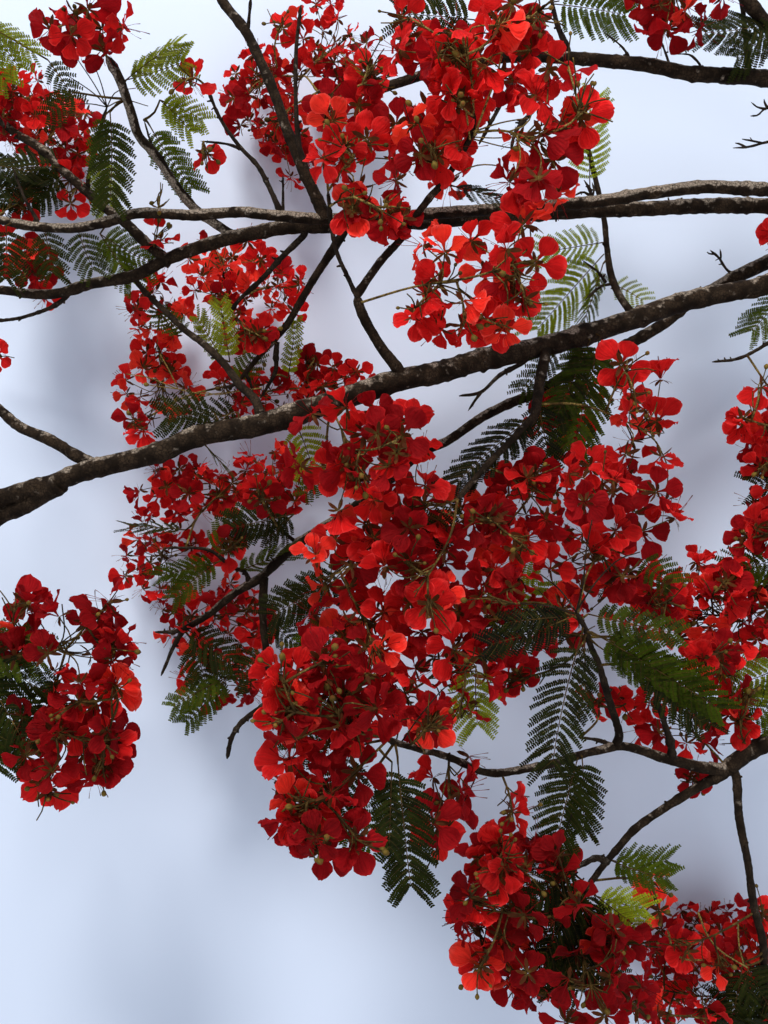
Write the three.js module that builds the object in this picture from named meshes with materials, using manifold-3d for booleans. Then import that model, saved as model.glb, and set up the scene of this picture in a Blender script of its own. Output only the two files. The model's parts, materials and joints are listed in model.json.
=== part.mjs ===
// A cut limb of a flame tree in full flower, lying on a level floor. Millimetres, +Z up.
// Its boughs spread in a fan above the floor, and carry masses of blossom and of feathery leaves.
import * as THREE from "three";
import { mergeVertices } from "three/addons/utils/BufferGeometryUtils.js";
import Module from "manifold-3d";

// The layout is drawn as it looks from an eye straight above it. A place is [column, row, height]:
// columns and rows count steps across a view of 768 by 1024, and height is in millimetres.
const view = {
  middleColumn: 384,
  middleRow: 512,
  stepSize: 2.25,
  stepHeight: 450,
  eyeHeight: 2750,
};

// Where the middle of that view lies, so that the origin is the bottom centre of the whole limb.
const viewMiddle = { x: -374.7, y: 6.1 };

const gap = 0.4;
const limbSides = { bough: 8, branch: 6, boughDiameter: 42 };
const limbStepLength = 330;
const collar = { swelling: 0.22, length: 45 };
const lump = { height: 0.1, detail: 1 };

const bark = { color: 0x5a4636, roughness: 0.9, metalness: 0 };
const blossom = { color: 0xb8141a, roughness: 0.6, metalness: 0 };
const foliage = { color: 0x3f5f24, roughness: 0.7, metalness: 0 };

// The long bough bows over a wide gap, so it is two solids, which meet across X at this place.
const longBough = {
  route: [
    [890, 217, 273], [768, 284, 300], [640, 318, 375], [400, 380, 545],
    [200, 438, 590], [100, 470, 575], [-55, 512, 500],
  ],
  diameter: [50, 42],
  meeting: [470, 362, 495],
};

// Each limb is one tapering branch: the places it runs through, and its diameter at foot and tip.
// The first place lies on the centreline of the limb that carries it.
const limbs = [
  {
    name: "main_limb",
    route: [[1060, 330, 72], [1000, 272, 150], [935, 226, 245], [865, 214, 287]],
    diameter: [122, 70],
  },
  { name: "long_bough", ...longBough, side: 1 },
  { name: "long_bough_end", ...longBough, side: -1 },
  {
    name: "upper_bough",
    route: [
      [875, 215, 282], [768, 190, 370], [600, 202, 450], [330, 220, 455],
      [150, 219, 430], [50, 226, 400], [-45, 214, 330],
    ],
    diameter: [40, 19],
  },
  {
    name: "second_bough",
    route: [
      [885, 217, 275], [768, 208, 310], [600, 215, 378], [330, 228, 378],
      [240, 238, 370], [170, 262, 350], [120, 280, 325], [-45, 290, 220],
    ],
    diameter: [46, 18],
  },
  {
    name: "crossing_bough",
    route: [
      [910, 220, 260], [768, 262, 230], [700, 303, 245], [540, 385, 330],
      [455, 438, 375], [340, 520, 390], [185, 630, 320],
    ],
    diameter: [40, 16],
  },
  {
    name: "corner_bough",
    route: [[920, 222, 255], [855, 125, 320], [768, 26, 410], [725, -24, 450], [665, -34, 490]],
    diameter: [44, 22],
  },
  {
    name: "top_bough",
    route: [[855, 125, 320], [768, 79, 360], [680, 66, 395], [560, 55, 405], [430, 74, 340], [318, 90, 270]],
    diameter: [35, 20],
  },
  {
    name: "lower_bough_foot",
    route: [[1000, 272, 150], [1008, 360, 190], [985, 470, 250], [930, 570, 315]],
    diameter: [68, 60],
  },
  {
    name: "lower_bough",
    route: [[930, 570, 315], [850, 672, 390], [725, 771, 452]],
    diameter: [52, 38],
  },
  {
    name: "lower_bough_left_fork",
    route: [
      [725, 771, 452], [665, 756, 490], [615, 745, 520], [560, 758, 560],
      [492, 775, 620], [455, 758, 680], [385, 738, 765],
    ],
    diameter: [27, 14],
  },
  {
    name: "lower_bough_middle_fork",
    route: [[725, 771, 452], [660, 815, 470], [625, 850, 500], [605, 872, 530], [578, 918, 580]],
    diameter: [24, 12],
  },
  {
    name: "lower_bough_right_fork",
    route: [[725, 771, 452], [740, 830, 430], [755, 905, 360], [764, 980, 270], [767, 1035, 200]],
    diameter: [21, 19],
  },
  {
    name: "leafy_shoot",
    route: [[616, 745, 520], [606, 708, 580], [590, 660, 650], [574, 612, 720]],
    diameter: [17, 11],
  },
  {
    name: "rising_branch",
    route: [[325, 220, 455], [300, 165, 475], [275, 92, 470], [222, -4, 430], [203, -42, 400]],
    diameter: [28, 21],
  },
  {
    name: "falling_branch",
    route: [[345, 228, 378], [318, 270, 350], [298, 312, 310], [272, 342, 275], [240, 380, 235]],
    diameter: [20, 12],
  },
  {
    name: "left_branch",
    route: [[170, 262, 350], [122, 222, 325], [45, 155, 280], [-30, 95, 215]],
    diameter: [26, 17],
  },
  {
    name: "top_left_branch",
    route: [[235, 238, 368], [200, 213, 365], [172, 186, 395], [146, 146, 450], [126, 108, 520], [114, 60, 600]],
    diameter: [22, 19],
  },
  {
    name: "long_bough_upper_twin",
    route: [[103, 469, 575], [60, 450, 550], [20, 420, 515], [-42, 377, 450]],
    diameter: [26, 20],
  },
  {
    name: "long_bough_lower_twin",
    route: [[60, 483, 560], [0, 522, 505], [-42, 572, 500], [-40, 635, 560]],
    diameter: [38, 22],
  },
  {
    name: "upturned_branch",
    route: [[402, 379, 545], [380, 345, 580], [356, 296, 620]],
    diameter: [23, 20],
  },
  {
    name: "blossom_stem",
    route: [[356, 296, 620], [392, 245, 650], [430, 200, 685], [462, 120, 730]],
    diameter: [18, 11],
  },
  {
    name: "hanging_branch",
    route: [[545, 343, 440], [541, 385, 520], [537, 408, 570], [500, 450, 640], [458, 502, 690]],
    diameter: [25, 14],
  },
  {
    name: "slanting_branch",
    route: [[262, 421, 580], [240, 385, 520], [205, 345, 430], [165, 310, 340], [122, 264, 255]],
    diameter: [20, 13],
  },
  {
    name: "pale_leaf_shoot",
    route: [[636, 319, 377], [614, 285, 350], [605, 240, 300], [598, 190, 265], [586, 140, 240]],
    diameter: [17, 12],
  },
  {
    name: "drooping_twig",
    route: [[264, 578, 360], [262, 620, 350], [268, 665, 345], [272, 700, 350]],
    diameter: [20, 15],
  },
  {
    name: "right_side_branch",
    route: [[930, 570, 315], [865, 560, 350], [815, 575, 370], [760, 590, 380]],
    diameter: [34, 20],
  },
];

// Each mass is one uneven solid of one or more blobs: [place, half width, half height, half depth],
// the half width and half height in steps of the view, and the half depth in millimetres.
const blossomMasses = {
  blossom_top_left: [[[82, 28, 650], 58, 33, 85]],
  blossom_left_upper: [[[42, 128, 165], 52, 54, 170]],
  blossom_top_middle: [
    [[328, 48, 190], 50, 48, 120],
    [[268, 98, 140], 44, 54, 145],
    [[290, 150, 160], 30, 42, 115],
  ],
  blossom_near_top: [
    [[462, 62, 740], 84, 48, 115],
    [[432, 148, 690], 50, 50, 95],
    [[362, 158, 660], 50, 76, 100],
  ],
  blossom_near_right: [
    [[545, 112, 735], 42, 54, 95],
    [[538, 190, 740], 42, 54, 95],
    [[474, 276, 755], 76, 68, 110],
  ],
  blossom_mid_left: [
    [[235, 275, 195], 62, 44, 110],
    [[288, 292, 220], 28, 34, 100],
  ],
  blossom_left_hanging: [
    [[160, 315, 185], 34, 46, 150],
    [[160, 384, 110], 48, 42, 125],
  ],
  blossom_behind_bough: [
    [[248, 398, 140], 54, 28, 120],
    [[326, 384, 175], 54, 28, 115],
  ],
  blossom_under_bough: [
    [[275, 476, 220], 48, 40, 120],
    [[192, 490, 175], 60, 38, 120],
  ],
  blossom_lower_left: [
    [[164, 562, 130], 52, 66, 140],
    [[220, 640, 185], 62, 72, 165],
  ],
  blossom_centre: [
    [[362, 452, 680], 84, 60, 120],
    [[395, 545, 640], 98, 74, 125],
    [[358, 606, 580], 64, 58, 130],
    [[482, 600, 610], 68, 66, 115],
    [[422, 678, 625], 60, 56, 110],
  ],
  blossom_centre_right: [
    [[562, 492, 600], 82, 50, 120],
    [[592, 556, 590], 62, 46, 100],
    [[645, 490, 560], 46, 60, 100],
    [[648, 405, 550], 36, 64, 95],
  ],
  blossom_nearest: [
    [[325, 705, 830], 66, 62, 105],
    [[318, 790, 820], 54, 66, 105],
  ],
  blossom_small_low: [[[450, 800, 690], 40, 44, 75]],
  blossom_right: [
    [[640, 592, 430], 56, 36, 95],
    [[722, 608, 370], 58, 68, 130],
  ],
  blossom_right_edge: [[[792, 478, 370], 52, 98, 140]],
  blossom_lower_right: [[[674, 722, 375], 74, 42, 85]],
  blossom_bottom: [
    [[524, 895, 650], 76, 70, 120],
    [[580, 966, 620], 84, 62, 115],
  ],
  blossom_bottom_right: [[[715, 965, 150], 80, 62, 155]],
  blossom_left_low: [
    [[64, 650, 620], 72, 64, 115],
    [[70, 735, 620], 68, 56, 115],
  ],
  blossom_top_right: [[[675, 4, 540], 58, 42, 95]],
};

const leafMasses = {
  leaves_top_left: [[[18, 60, 560], 40, 40, 60]],
  leaves_left_upper: [
    [[155, 64, 510], 42, 36, 60],
    [[178, 130, 450], 32, 46, 60],
  ],
  leaves_left: [
    [[45, 198, 215], 52, 34, 70],
    [[92, 248, 200], 54, 28, 70],
  ],
  leaves_mid_left: [[[208, 325, 400], 50, 38, 55]],
  leaves_pale: [
    [[574, 262, 262], 52, 62, 65],
    [[582, 165, 240], 34, 70, 60],
  ],
  leaves_under_bough: [[[585, 392, 560], 42, 46, 55]],
  leaves_dark_centre: [[[488, 436, 600], 48, 36, 50]],
  leaves_lower_left: [
    [[560, 692, 690], 46, 58, 60],
    [[520, 642, 720], 46, 34, 55],
  ],
  leaves_lower_right: [
    [[655, 642, 690], 68, 40, 60],
    [[700, 680, 665], 48, 44, 60],
  ],
  leaves_low_front: [[[402, 820, 790], 40, 62, 55]],
  leaves_below: [[[570, 804, 600], 34, 50, 55]],
};

function placeOf([column, row, height]) {
  const reach = view.stepSize * (view.eyeHeight - height) / (view.eyeHeight - view.stepHeight);
  return new THREE.Vector3(
    viewMiddle.x + (column - view.middleColumn) * reach,
    viewMiddle.y + (view.middleRow - row) * reach,
    height,
  );
}

// A tapering cylinder bent along a smooth curve, with a swollen collar at its foot.
function limbGeometry({ route, diameter }, grow) {
  const curve = new THREE.CatmullRomCurve3(route.map(placeOf), false, "centripetal");
  const length = curve.getLength();
  const steps = Math.max(3, Math.round(length / limbStepLength));
  const frames = curve.computeFrenetFrames(steps, false);
  const sides = diameter[0] < limbSides.boughDiameter ? limbSides.branch : limbSides.bough;
  const geometry = new THREE.CylinderGeometry(1, 1, 1, sides, steps);
  const position = geometry.getAttribute("position");
  for (let i = 0; i < position.count; i++) {
    const along = position.getY(i) + 0.5;
    const step = Math.round(along * steps);
    const swelling = 1 + collar.swelling * Math.exp(-along * length / collar.length);
    const radius = THREE.MathUtils.lerp(diameter[0], diameter[1], along) / 2 * swelling + grow;
    const centre = curve.getPointAt(step / steps);
    const end = (along === 1 ? grow : 0) - (along === 0 ? grow : 0);
    centre.addScaledVector(frames.tangents[step], end);
    centre.addScaledVector(frames.normals[step], position.getX(i) * radius);
    centre.addScaledVector(frames.binormals[step], -position.getZ(i) * radius);
    position.setXYZ(i, centre.x, centre.y, Math.max(centre.z, 0));
  }
  return geometry;
}

// A sphere of facets, stretched to its half sizes and made uneven by waves that its place sets.
function blobGeometry([place, halfWidth, halfHeight, halfDepth], grow) {
  const centre = placeOf(place);
  const edge = placeOf([place[0] + halfWidth, place[1] - halfHeight, place[2]]);
  const geometry = new THREE.IcosahedronGeometry(1, lump.detail);
  const position = geometry.getAttribute("position");
  const direction = new THREE.Vector3();
  for (let i = 0; i < position.count; i++) {
    direction.fromBufferAttribute(position, i);
    const wave = Math.sin(4 * direction.x + place[0]) + Math.sin(5 * direction.y + place[1])
      + Math.sin(4 * direction.z + place[2]);
    const size = 1 + lump.height * wave / 2;
    position.setXYZ(
      i,
      centre.x + direction.x * ((edge.x - centre.x) * size + grow),
      centre.y + direction.y * ((edge.y - centre.y) * size + grow),
      Math.max(centre.z + direction.z * (halfDepth * size + grow), 0),
    );
  }
  return geometry;
}

const wasm = await Module();
wasm.setup();

function solidOf(geometry) {
  geometry.deleteAttribute("normal");
  geometry.deleteAttribute("uv");
  const merged = mergeVertices(geometry, 1e-3);
  return new wasm.Manifold(new wasm.Mesh({
    numProp: 3,
    vertProperties: merged.getAttribute("position").array,
    triVerts: new Uint32Array(merged.index.array),
  }));
}

function geometryOf(solid) {
  const mesh = solid.getMesh();
  const geometry = new THREE.BufferGeometry();
  geometry.setAttribute("position", new THREE.BufferAttribute(mesh.vertProperties, 3));
  geometry.setIndex(new THREE.BufferAttribute(mesh.triVerts, 1));
  geometry.computeVertexNormals();
  return geometry;
}

// A limb with a meeting place is kept only on its own side of it.
function limbSolid(limb, grow) {
  const whole = solidOf(limbGeometry(limb, grow));
  if (!limb.meeting) return whole;
  return whole.trimByPlane([limb.side, 0, 0], limb.side * placeOf(limb.meeting).x + gap / 2 - grow);
}

const massSolid = (blobs, grow) =>
  blobs.map((blob) => solidOf(blobGeometry(blob, grow))).reduce((whole, blob) => whole.add(blob));

function largestBody(solid) {
  return solid.decompose().reduce((best, body) => (body.volume() > best.volume() ? body : best));
}

// Pieces are placed in turn, and each is cut back a little from all that stand there already.
const limbTree = new THREE.Group();
const standing = [];

function placePiece(name, shape, fatShape, finish) {
  let solid = shape;
  for (const other of standing) solid = solid.subtract(other);
  standing.push(fatShape);
  const mesh = new THREE.Mesh(geometryOf(largestBody(solid)), new THREE.MeshStandardMaterial(finish));
  mesh.name = name;
  limbTree.add(mesh);
}

for (const limb of limbs) {
  placePiece(limb.name, limbSolid(limb, 0), limbSolid(limb, gap), bark);
}
for (const [name, blobs] of Object.entries(blossomMasses)) {
  placePiece(name, massSolid(blobs, 0), massSolid(blobs, gap), blossom);
}
for (const [name, blobs] of Object.entries(leafMasses)) {
  placePiece(name, massSolid(blobs, 0), massSolid(blobs, gap), foliage);
}

export default limbTree;
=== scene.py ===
import json
import math

import bpy
import numpy as np
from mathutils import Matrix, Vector, noise
from mathutils.bvhtree import BVHTree

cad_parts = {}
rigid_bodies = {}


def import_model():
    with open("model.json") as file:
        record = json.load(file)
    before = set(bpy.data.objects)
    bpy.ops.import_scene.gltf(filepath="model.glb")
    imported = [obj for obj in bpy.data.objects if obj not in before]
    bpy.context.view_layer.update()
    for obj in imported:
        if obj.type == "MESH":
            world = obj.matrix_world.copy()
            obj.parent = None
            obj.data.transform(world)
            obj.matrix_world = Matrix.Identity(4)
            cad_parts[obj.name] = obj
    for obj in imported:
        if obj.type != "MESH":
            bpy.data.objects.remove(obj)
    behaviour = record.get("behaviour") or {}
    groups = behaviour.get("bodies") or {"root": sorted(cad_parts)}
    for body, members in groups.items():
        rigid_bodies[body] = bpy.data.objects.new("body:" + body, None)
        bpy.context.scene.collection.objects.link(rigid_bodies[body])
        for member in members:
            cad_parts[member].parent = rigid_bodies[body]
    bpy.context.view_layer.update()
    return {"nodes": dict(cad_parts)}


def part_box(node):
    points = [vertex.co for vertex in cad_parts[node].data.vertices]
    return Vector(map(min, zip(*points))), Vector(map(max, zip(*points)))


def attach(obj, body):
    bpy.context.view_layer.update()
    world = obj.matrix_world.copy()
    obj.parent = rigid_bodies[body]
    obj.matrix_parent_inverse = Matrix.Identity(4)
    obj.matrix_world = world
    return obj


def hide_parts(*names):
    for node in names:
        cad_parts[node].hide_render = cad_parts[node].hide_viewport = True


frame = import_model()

# The layout is drawn as an eye straight above sees it: [column, row, height in mm] of a view 768 by 1024.
view = {
    "rows": 1024,
    "middleColumn": 384,
    "middleRow": 512,
    "step": 0.00225,
    "stepHeight": 0.45,
    "eyeHeight": 2.75,
    "middleX": -0.3747,
    "middleY": 0.0061,
}


def placeOf(place):
    column, row, height = place[0], place[1], place[2] / 1000
    reach = view["step"] * (view["eyeHeight"] - height) / (view["eyeHeight"] - view["stepHeight"])
    x = view["middleX"] + (column - view["middleColumn"]) * reach
    y = view["middleY"] + (view["middleRow"] - row) * reach
    return np.array([x, y, height])


def viewOf(points):
    # columns and rows at which the eye sees the points
    reach = view["step"] * (view["eyeHeight"] - points[:, 2]) / (view["eyeHeight"] - view["stepHeight"])
    return np.column_stack([view["middleColumn"] + (points[:, 0] - view["middleX"]) / reach,
                            view["middleRow"] - (points[:, 1] - view["middleY"]) / reach])


# curves and tubes

def unit(vectors):
    return vectors / np.maximum(np.linalg.norm(vectors, axis=-1, keepdims=True), 1e-9)


def smoothPath(points, spacing):
    p = np.asarray(points, float)
    ends = np.vstack([2 * p[0] - p[1], p, 2 * p[-1] - p[-2]])
    parts = []
    for i in range(1, len(ends) - 2):
        a, b, c, d = ends[i - 1:i + 3]
        t = np.linspace(0, 1, 12, endpoint=False)[:, None]
        parts.append(0.5 * (2 * b + (c - a) * t + (2 * a - 5 * b + 4 * c - d) * t**2
                            + (3 * b - a - 3 * c + d) * t**3))
    fine = np.vstack(parts + [p[-1:]])
    along = np.r_[0, np.cumsum(np.linalg.norm(np.diff(fine, axis=0), axis=1))]
    count = max(3, int(round(along[-1] / spacing)) + 1)
    stops = np.linspace(0, along[-1], count)
    return np.column_stack([np.interp(stops, along, fine[:, k]) for k in range(3)]), stops


def pathFrames(path):
    tangents = unit(np.gradient(path, axis=0))
    side = np.cross(tangents[0], [0, 0, 1] if abs(tangents[0][2]) < 0.9 else [1, 0, 0])
    sides = []
    for tangent in tangents:
        side = unit(side - tangent * np.dot(side, tangent))
        sides.append(side)
    sides = np.array(sides)
    return tangents, sides, np.cross(tangents, sides)


class Bundle:
    def __init__(self):
        self.points, self.faces, self.marks, self.weather, self.size = [], [], [], [], 0

    def add(self, points, faces, mark=0, weather=0.0):
        self.points.append(np.asarray(points, float))
        self.weather.append(np.broadcast_to(weather, len(points)))
        self.faces += [tuple(i + self.size for i in face) for face in faces]
        self.marks += [mark] * len(faces)
        self.size += len(points)


def gridFaces(rows, columns, closed):
    faces = []
    for i in range(rows - 1):
        for k in range(columns if closed else columns - 1):
            a, b = i * columns + k, i * columns + (k + 1) % columns
            faces.append((a, b, b + columns, a + columns))
    return faces


def addTube(bundle, path, radii, sides, weather=0.0):
    tangents, across, up = pathFrames(path)
    angle = np.linspace(0, 2 * math.pi, sides, endpoint=False)[None, :, None]
    ring = across[:, None] * np.cos(angle) + up[:, None] * np.sin(angle)
    points = (path[:, None] + ring * np.asarray(radii)[:, None, None]).reshape(-1, 3)
    last = len(points) - sides
    faces = gridFaces(len(path), sides, True)
    faces.append(tuple(range(sides - 1, -1, -1)))
    faces.append(tuple(range(last, last + sides)))
    bundle.add(points, faces, 0, weather)


def makePiece(name, bundle, finishes, smooth=True):
    points = np.vstack(bundle.points)
    mesh = bpy.data.meshes.new(name)
    mesh.from_pydata(points.tolist(), [], bundle.faces)
    for finish in finishes:
        mesh.materials.append(finish)
    mesh.polygons.foreach_set("material_index", bundle.marks)
    mesh.polygons.foreach_set("use_smooth", [smooth] * len(mesh.polygons))
    # how much painted highlight each point gets, on the lit side of the bark and on lit stalks
    weather = mesh.attributes.new("weather", "FLOAT", "POINT")
    weather.data.foreach_set("value", np.concatenate(bundle.weather).astype(float))
    mesh.update()
    piece = bpy.data.objects.new(name, mesh)
    bpy.context.scene.collection.objects.link(piece)
    return piece


# finishes

def newFinish(name):
    finish = bpy.data.materials.new(name)
    finish.use_nodes = True
    nodes, links = finish.node_tree.nodes, finish.node_tree.links
    return finish, nodes, links, nodes["Principled BSDF"], nodes["Material Output"]


def socketNamed(sockets, name):
    return next(s for s in sockets if s.name == name and s.enabled)


def groupSockets(group, inputs, outputs):
    for name, kind, value in inputs:
        socket = group.interface.new_socket(name, in_out="INPUT", socket_type=kind)
        if value is not None:
            socket.default_value = value
    for name, kind in outputs:
        group.interface.new_socket(name, in_out="OUTPUT", socket_type=kind)


def mixColour(nodes, links, factor, first, second, blend="MIX"):
    mix = nodes.new("ShaderNodeMix")
    mix.data_type = "RGBA"
    mix.blend_type = blend
    for socket, value in ((socketNamed(mix.inputs, "Factor"), factor), (socketNamed(mix.inputs, "A"), first),
                          (socketNamed(mix.inputs, "B"), second)):
        if hasattr(value, "node"):
            links.new(value, socket)
        else:
            socket.default_value = value
    return socketNamed(mix.outputs, "Result")


def mathNode(nodes, links, operation, *values):
    node = nodes.new("ShaderNodeMath")
    node.operation = operation
    for socket, value in zip(node.inputs, values):
        if hasattr(value, "node"):
            links.new(value, socket)
        else:
            socket.default_value = value
    return node.outputs[0]


def stepUp(nodes, links, value, low, high):
    node = nodes.new("ShaderNodeMapRange")
    node.interpolation_type = "SMOOTHSTEP"
    links.new(value, node.inputs["Value"])
    node.inputs["From Min"].default_value = low
    node.inputs["From Max"].default_value = high
    return node.outputs["Result"]


def noiseAt(nodes, links, vector, scale, detail=3.0):
    node = nodes.new("ShaderNodeTexNoise")
    links.new(vector, node.inputs["Vector"])
    node.inputs["Scale"].default_value = scale
    node.inputs["Detail"].default_value = detail
    return node.outputs["Fac"]


def buildBarkGroup():
    group = bpy.data.node_groups.new("barkGrain", "ShaderNodeTree")
    groupSockets(group, [
        ("Vector", "NodeSocketVector", None),
        ("Dark", "NodeSocketColor", (0.05, 0.035, 0.025, 1)),
        ("Light", "NodeSocketColor", (0.2, 0.15, 0.1, 1)),
        ("Patch", "NodeSocketColor", (0.3, 0.27, 0.2, 1)),
        ("Patch Cover", "NodeSocketFloat", 0.45),
        ("Weather", "NodeSocketFloat", 0.0),
    ], [("Color", "NodeSocketColor"), ("Height", "NodeSocketFloat"), ("Roughness", "NodeSocketFloat")])
    nodes, links = group.nodes, group.links
    source, result = nodes.new("NodeGroupInput"), nodes.new("NodeGroupOutput")
    vector = source.outputs["Vector"]
    broad = noiseAt(nodes, links, vector, 34, 5)
    fine = noiseAt(nodes, links, vector, 190, 5)
    patches = noiseAt(nodes, links, vector, 48, 6)
    cracks = nodes.new("ShaderNodeTexVoronoi")
    cracks.feature = "DISTANCE_TO_EDGE"
    links.new(vector, cracks.inputs["Vector"])
    cracks.inputs["Scale"].default_value = 130
    crack = stepUp(nodes, links, cracks.outputs["Distance"], 0.0, 0.09)
    tone = mixColour(nodes, links, stepUp(nodes, links, broad, 0.35, 0.68),
                     source.outputs["Dark"], source.outputs["Light"])
    reach = mathNode(nodes, links, "ADD", patches, mathNode(nodes, links, "SUBTRACT",
                                                            source.outputs["Patch Cover"], 0.5))
    # painted highlight: the side that faces the light gets more of the pale patch colour
    reach = mathNode(nodes, links, "ADD", reach,
                     mathNode(nodes, links, "MULTIPLY", source.outputs["Weather"], 0.3))
    tone = mixColour(nodes, links, stepUp(nodes, links, reach, 0.48, 0.66), tone, source.outputs["Patch"])
    grit = mathNode(nodes, links, "ADD", 0.45, mathNode(nodes, links, "MULTIPLY",
                                                       stepUp(nodes, links, fine, 0.34, 0.6), 0.55))
    tone = mixColour(nodes, links, grit, source.outputs["Dark"], tone)
    shaded = mixColour(nodes, links, mathNode(nodes, links, "SUBTRACT", 1.0, crack), tone,
                       source.outputs["Dark"])
    links.new(shaded, result.inputs["Color"])
    height = mathNode(nodes, links, "ADD", mathNode(nodes, links, "MULTIPLY", fine, 0.6),
                      mathNode(nodes, links, "MULTIPLY", crack, 0.4))
    links.new(height, result.inputs["Height"])
    links.new(mathNode(nodes, links, "ADD", 0.72, mathNode(nodes, links, "MULTIPLY", fine, 0.3)),
              result.inputs["Roughness"])
    return group


def buildFlushGroup():
    group = bpy.data.node_groups.new("flushAndVeins", "ShaderNodeTree")
    groupSockets(group, [
        ("Base", "NodeSocketColor", (0.6, 0.02, 0.02, 1)),
        ("Foot", "NodeSocketColor", (0.5, 0.2, 0.05, 1)),
        ("Rim", "NodeSocketColor", (0.8, 0.05, 0.02, 1)),
        ("Foot End", "NodeSocketFloat", 0.3),
        ("Veins", "NodeSocketFloat", 9.0),
        ("Tone", "NodeSocketFloat", 0.5),
        ("Tone Spread", "NodeSocketFloat", 0.8),
    ], [("Color", "NodeSocketColor"), ("Height", "NodeSocketFloat")])
    nodes, links = group.nodes, group.links
    source, result = nodes.new("NodeGroupInput"), nodes.new("NodeGroupOutput")
    place = nodes.new("ShaderNodeUVMap")
    split = nodes.new("ShaderNodeSeparateXYZ")
    links.new(place.outputs["UV"], split.inputs["Vector"])
    along, across = split.outputs["X"], mathNode(nodes, links, "SUBTRACT", split.outputs["Y"], 0.5)
    spread = mathNode(nodes, links, "MULTIPLY",
                      mathNode(nodes, links, "MULTIPLY", across, source.outputs["Veins"]),
                      mathNode(nodes, links, "SUBTRACT", 1.6, mathNode(nodes, links, "MULTIPLY", along, 0.6)))
    vein = mathNode(nodes, links, "ABSOLUTE", mathNode(nodes, links, "SINE", mathNode(
        nodes, links, "MULTIPLY", spread, math.pi)))
    line = stepUp(nodes, links, vein, 0.0, 0.35)
    # on the petals the lighter rim colour is a painted highlight of their lit edges
    rim = stepUp(nodes, links, mathNode(nodes, links, "MAXIMUM", mathNode(
        nodes, links, "MULTIPLY", mathNode(nodes, links, "ABSOLUTE", across), 2.0), along), 0.78, 1.0)
    tone = mixColour(nodes, links, rim, source.outputs["Base"], source.outputs["Rim"])
    foot = mathNode(nodes, links, "DIVIDE", along, source.outputs["Foot End"])
    tone = mixColour(nodes, links, stepUp(nodes, links, foot, 0.3, 1.2), source.outputs["Foot"], tone)
    # the tone darkens or lightens the whole colour: random variation, and also painted light and shade set
    # where the tone is made
    offset = mathNode(nodes, links, "SUBTRACT", source.outputs["Tone"], 0.5)
    shade = mathNode(nodes, links, "ADD", 0.9,
                     mathNode(nodes, links, "MULTIPLY", offset, source.outputs["Tone Spread"]))
    pleatAt = nodes.new("ShaderNodeCombineXYZ")
    links.new(mathNode(nodes, links, "MULTIPLY", along, 1.8), pleatAt.inputs["X"])
    links.new(mathNode(nodes, links, "MULTIPLY", spread, 1.1), pleatAt.inputs["Y"])
    links.new(mathNode(nodes, links, "MULTIPLY", source.outputs["Tone"], 60.0), pleatAt.inputs["Z"])
    pleatAndShade = noiseAt(nodes, links, pleatAt.outputs["Vector"], 1.0, 3)
    # the pleat noise also darkens and lightens the colour: painted shade and highlight of the pleats
    shade = mathNode(nodes, links, "MULTIPLY", shade, mathNode(
        nodes, links, "ADD", 0.73, mathNode(nodes, links, "MULTIPLY",
                                            stepUp(nodes, links, pleatAndShade, 0.32, 0.60), 0.38)))
    shade = mathNode(nodes, links, "MULTIPLY", shade, mathNode(
        nodes, links, "ADD", 0.86, mathNode(nodes, links, "MULTIPLY", line, 0.14)))
    grey = nodes.new("ShaderNodeCombineColor")
    for socket in grey.inputs[:3]:
        links.new(shade, socket)
    links.new(mixColour(nodes, links, 1.0, tone, grey.outputs[0], "MULTIPLY"), result.inputs["Color"])
    links.new(mathNode(nodes, links, "ADD", pleatAndShade, mathNode(nodes, links, "MULTIPLY", line, 0.1)),
              result.inputs["Height"])
    return group


barkGroup = buildBarkGroup()
flushGroup = buildFlushGroup()

barkLooks = {
    "boughBark": {"dark": (0.0095, 0.0058, 0.0034), "light": (0.042, 0.027, 0.0165),
                  "patch": (0.29, 0.235, 0.185),
                  "cover": 0.36, "bump": 0.9},
    "twigBark": {"dark": (0.010, 0.0065, 0.0045), "light": (0.040, 0.028, 0.019), "patch": (0.17, 0.14, 0.11),
                 "cover": 0.38, "bump": 0.6},
    "greenStalk": {"dark": (0.030, 0.017, 0.006), "light": (0.115, 0.070, 0.018),
                   "patch": (0.27, 0.19, 0.055),
                   "cover": 0.40, "bump": 0.1},
}


def barkFinish(name):
    look = barkLooks[name]
    finish, nodes, links, shader, output = newFinish(name)
    grain = nodes.new("ShaderNodeGroup")
    grain.node_tree = barkGroup
    spot = nodes.new("ShaderNodeTexCoord")
    links.new(spot.outputs["Object"], grain.inputs["Vector"])
    for socket, key in (("Dark", "dark"), ("Light", "light"), ("Patch", "patch")):
        grain.inputs[socket].default_value = (*look[key], 1)
    grain.inputs["Patch Cover"].default_value = look["cover"]
    weather = nodes.new("ShaderNodeAttribute")
    weather.attribute_name = "weather"
    links.new(weather.outputs["Fac"], grain.inputs["Weather"])
    bump = nodes.new("ShaderNodeBump")
    bump.inputs["Strength"].default_value = look["bump"]
    bump.inputs["Distance"].default_value = 0.002
    links.new(grain.outputs["Height"], bump.inputs["Height"])
    links.new(grain.outputs["Color"], shader.inputs["Base Color"])
    links.new(grain.outputs["Roughness"], shader.inputs["Roughness"])
    links.new(bump.outputs["Normal"], shader.inputs["Normal"])
    shader.inputs["Specular IOR Level"].default_value = 0.08
    return finish


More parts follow.
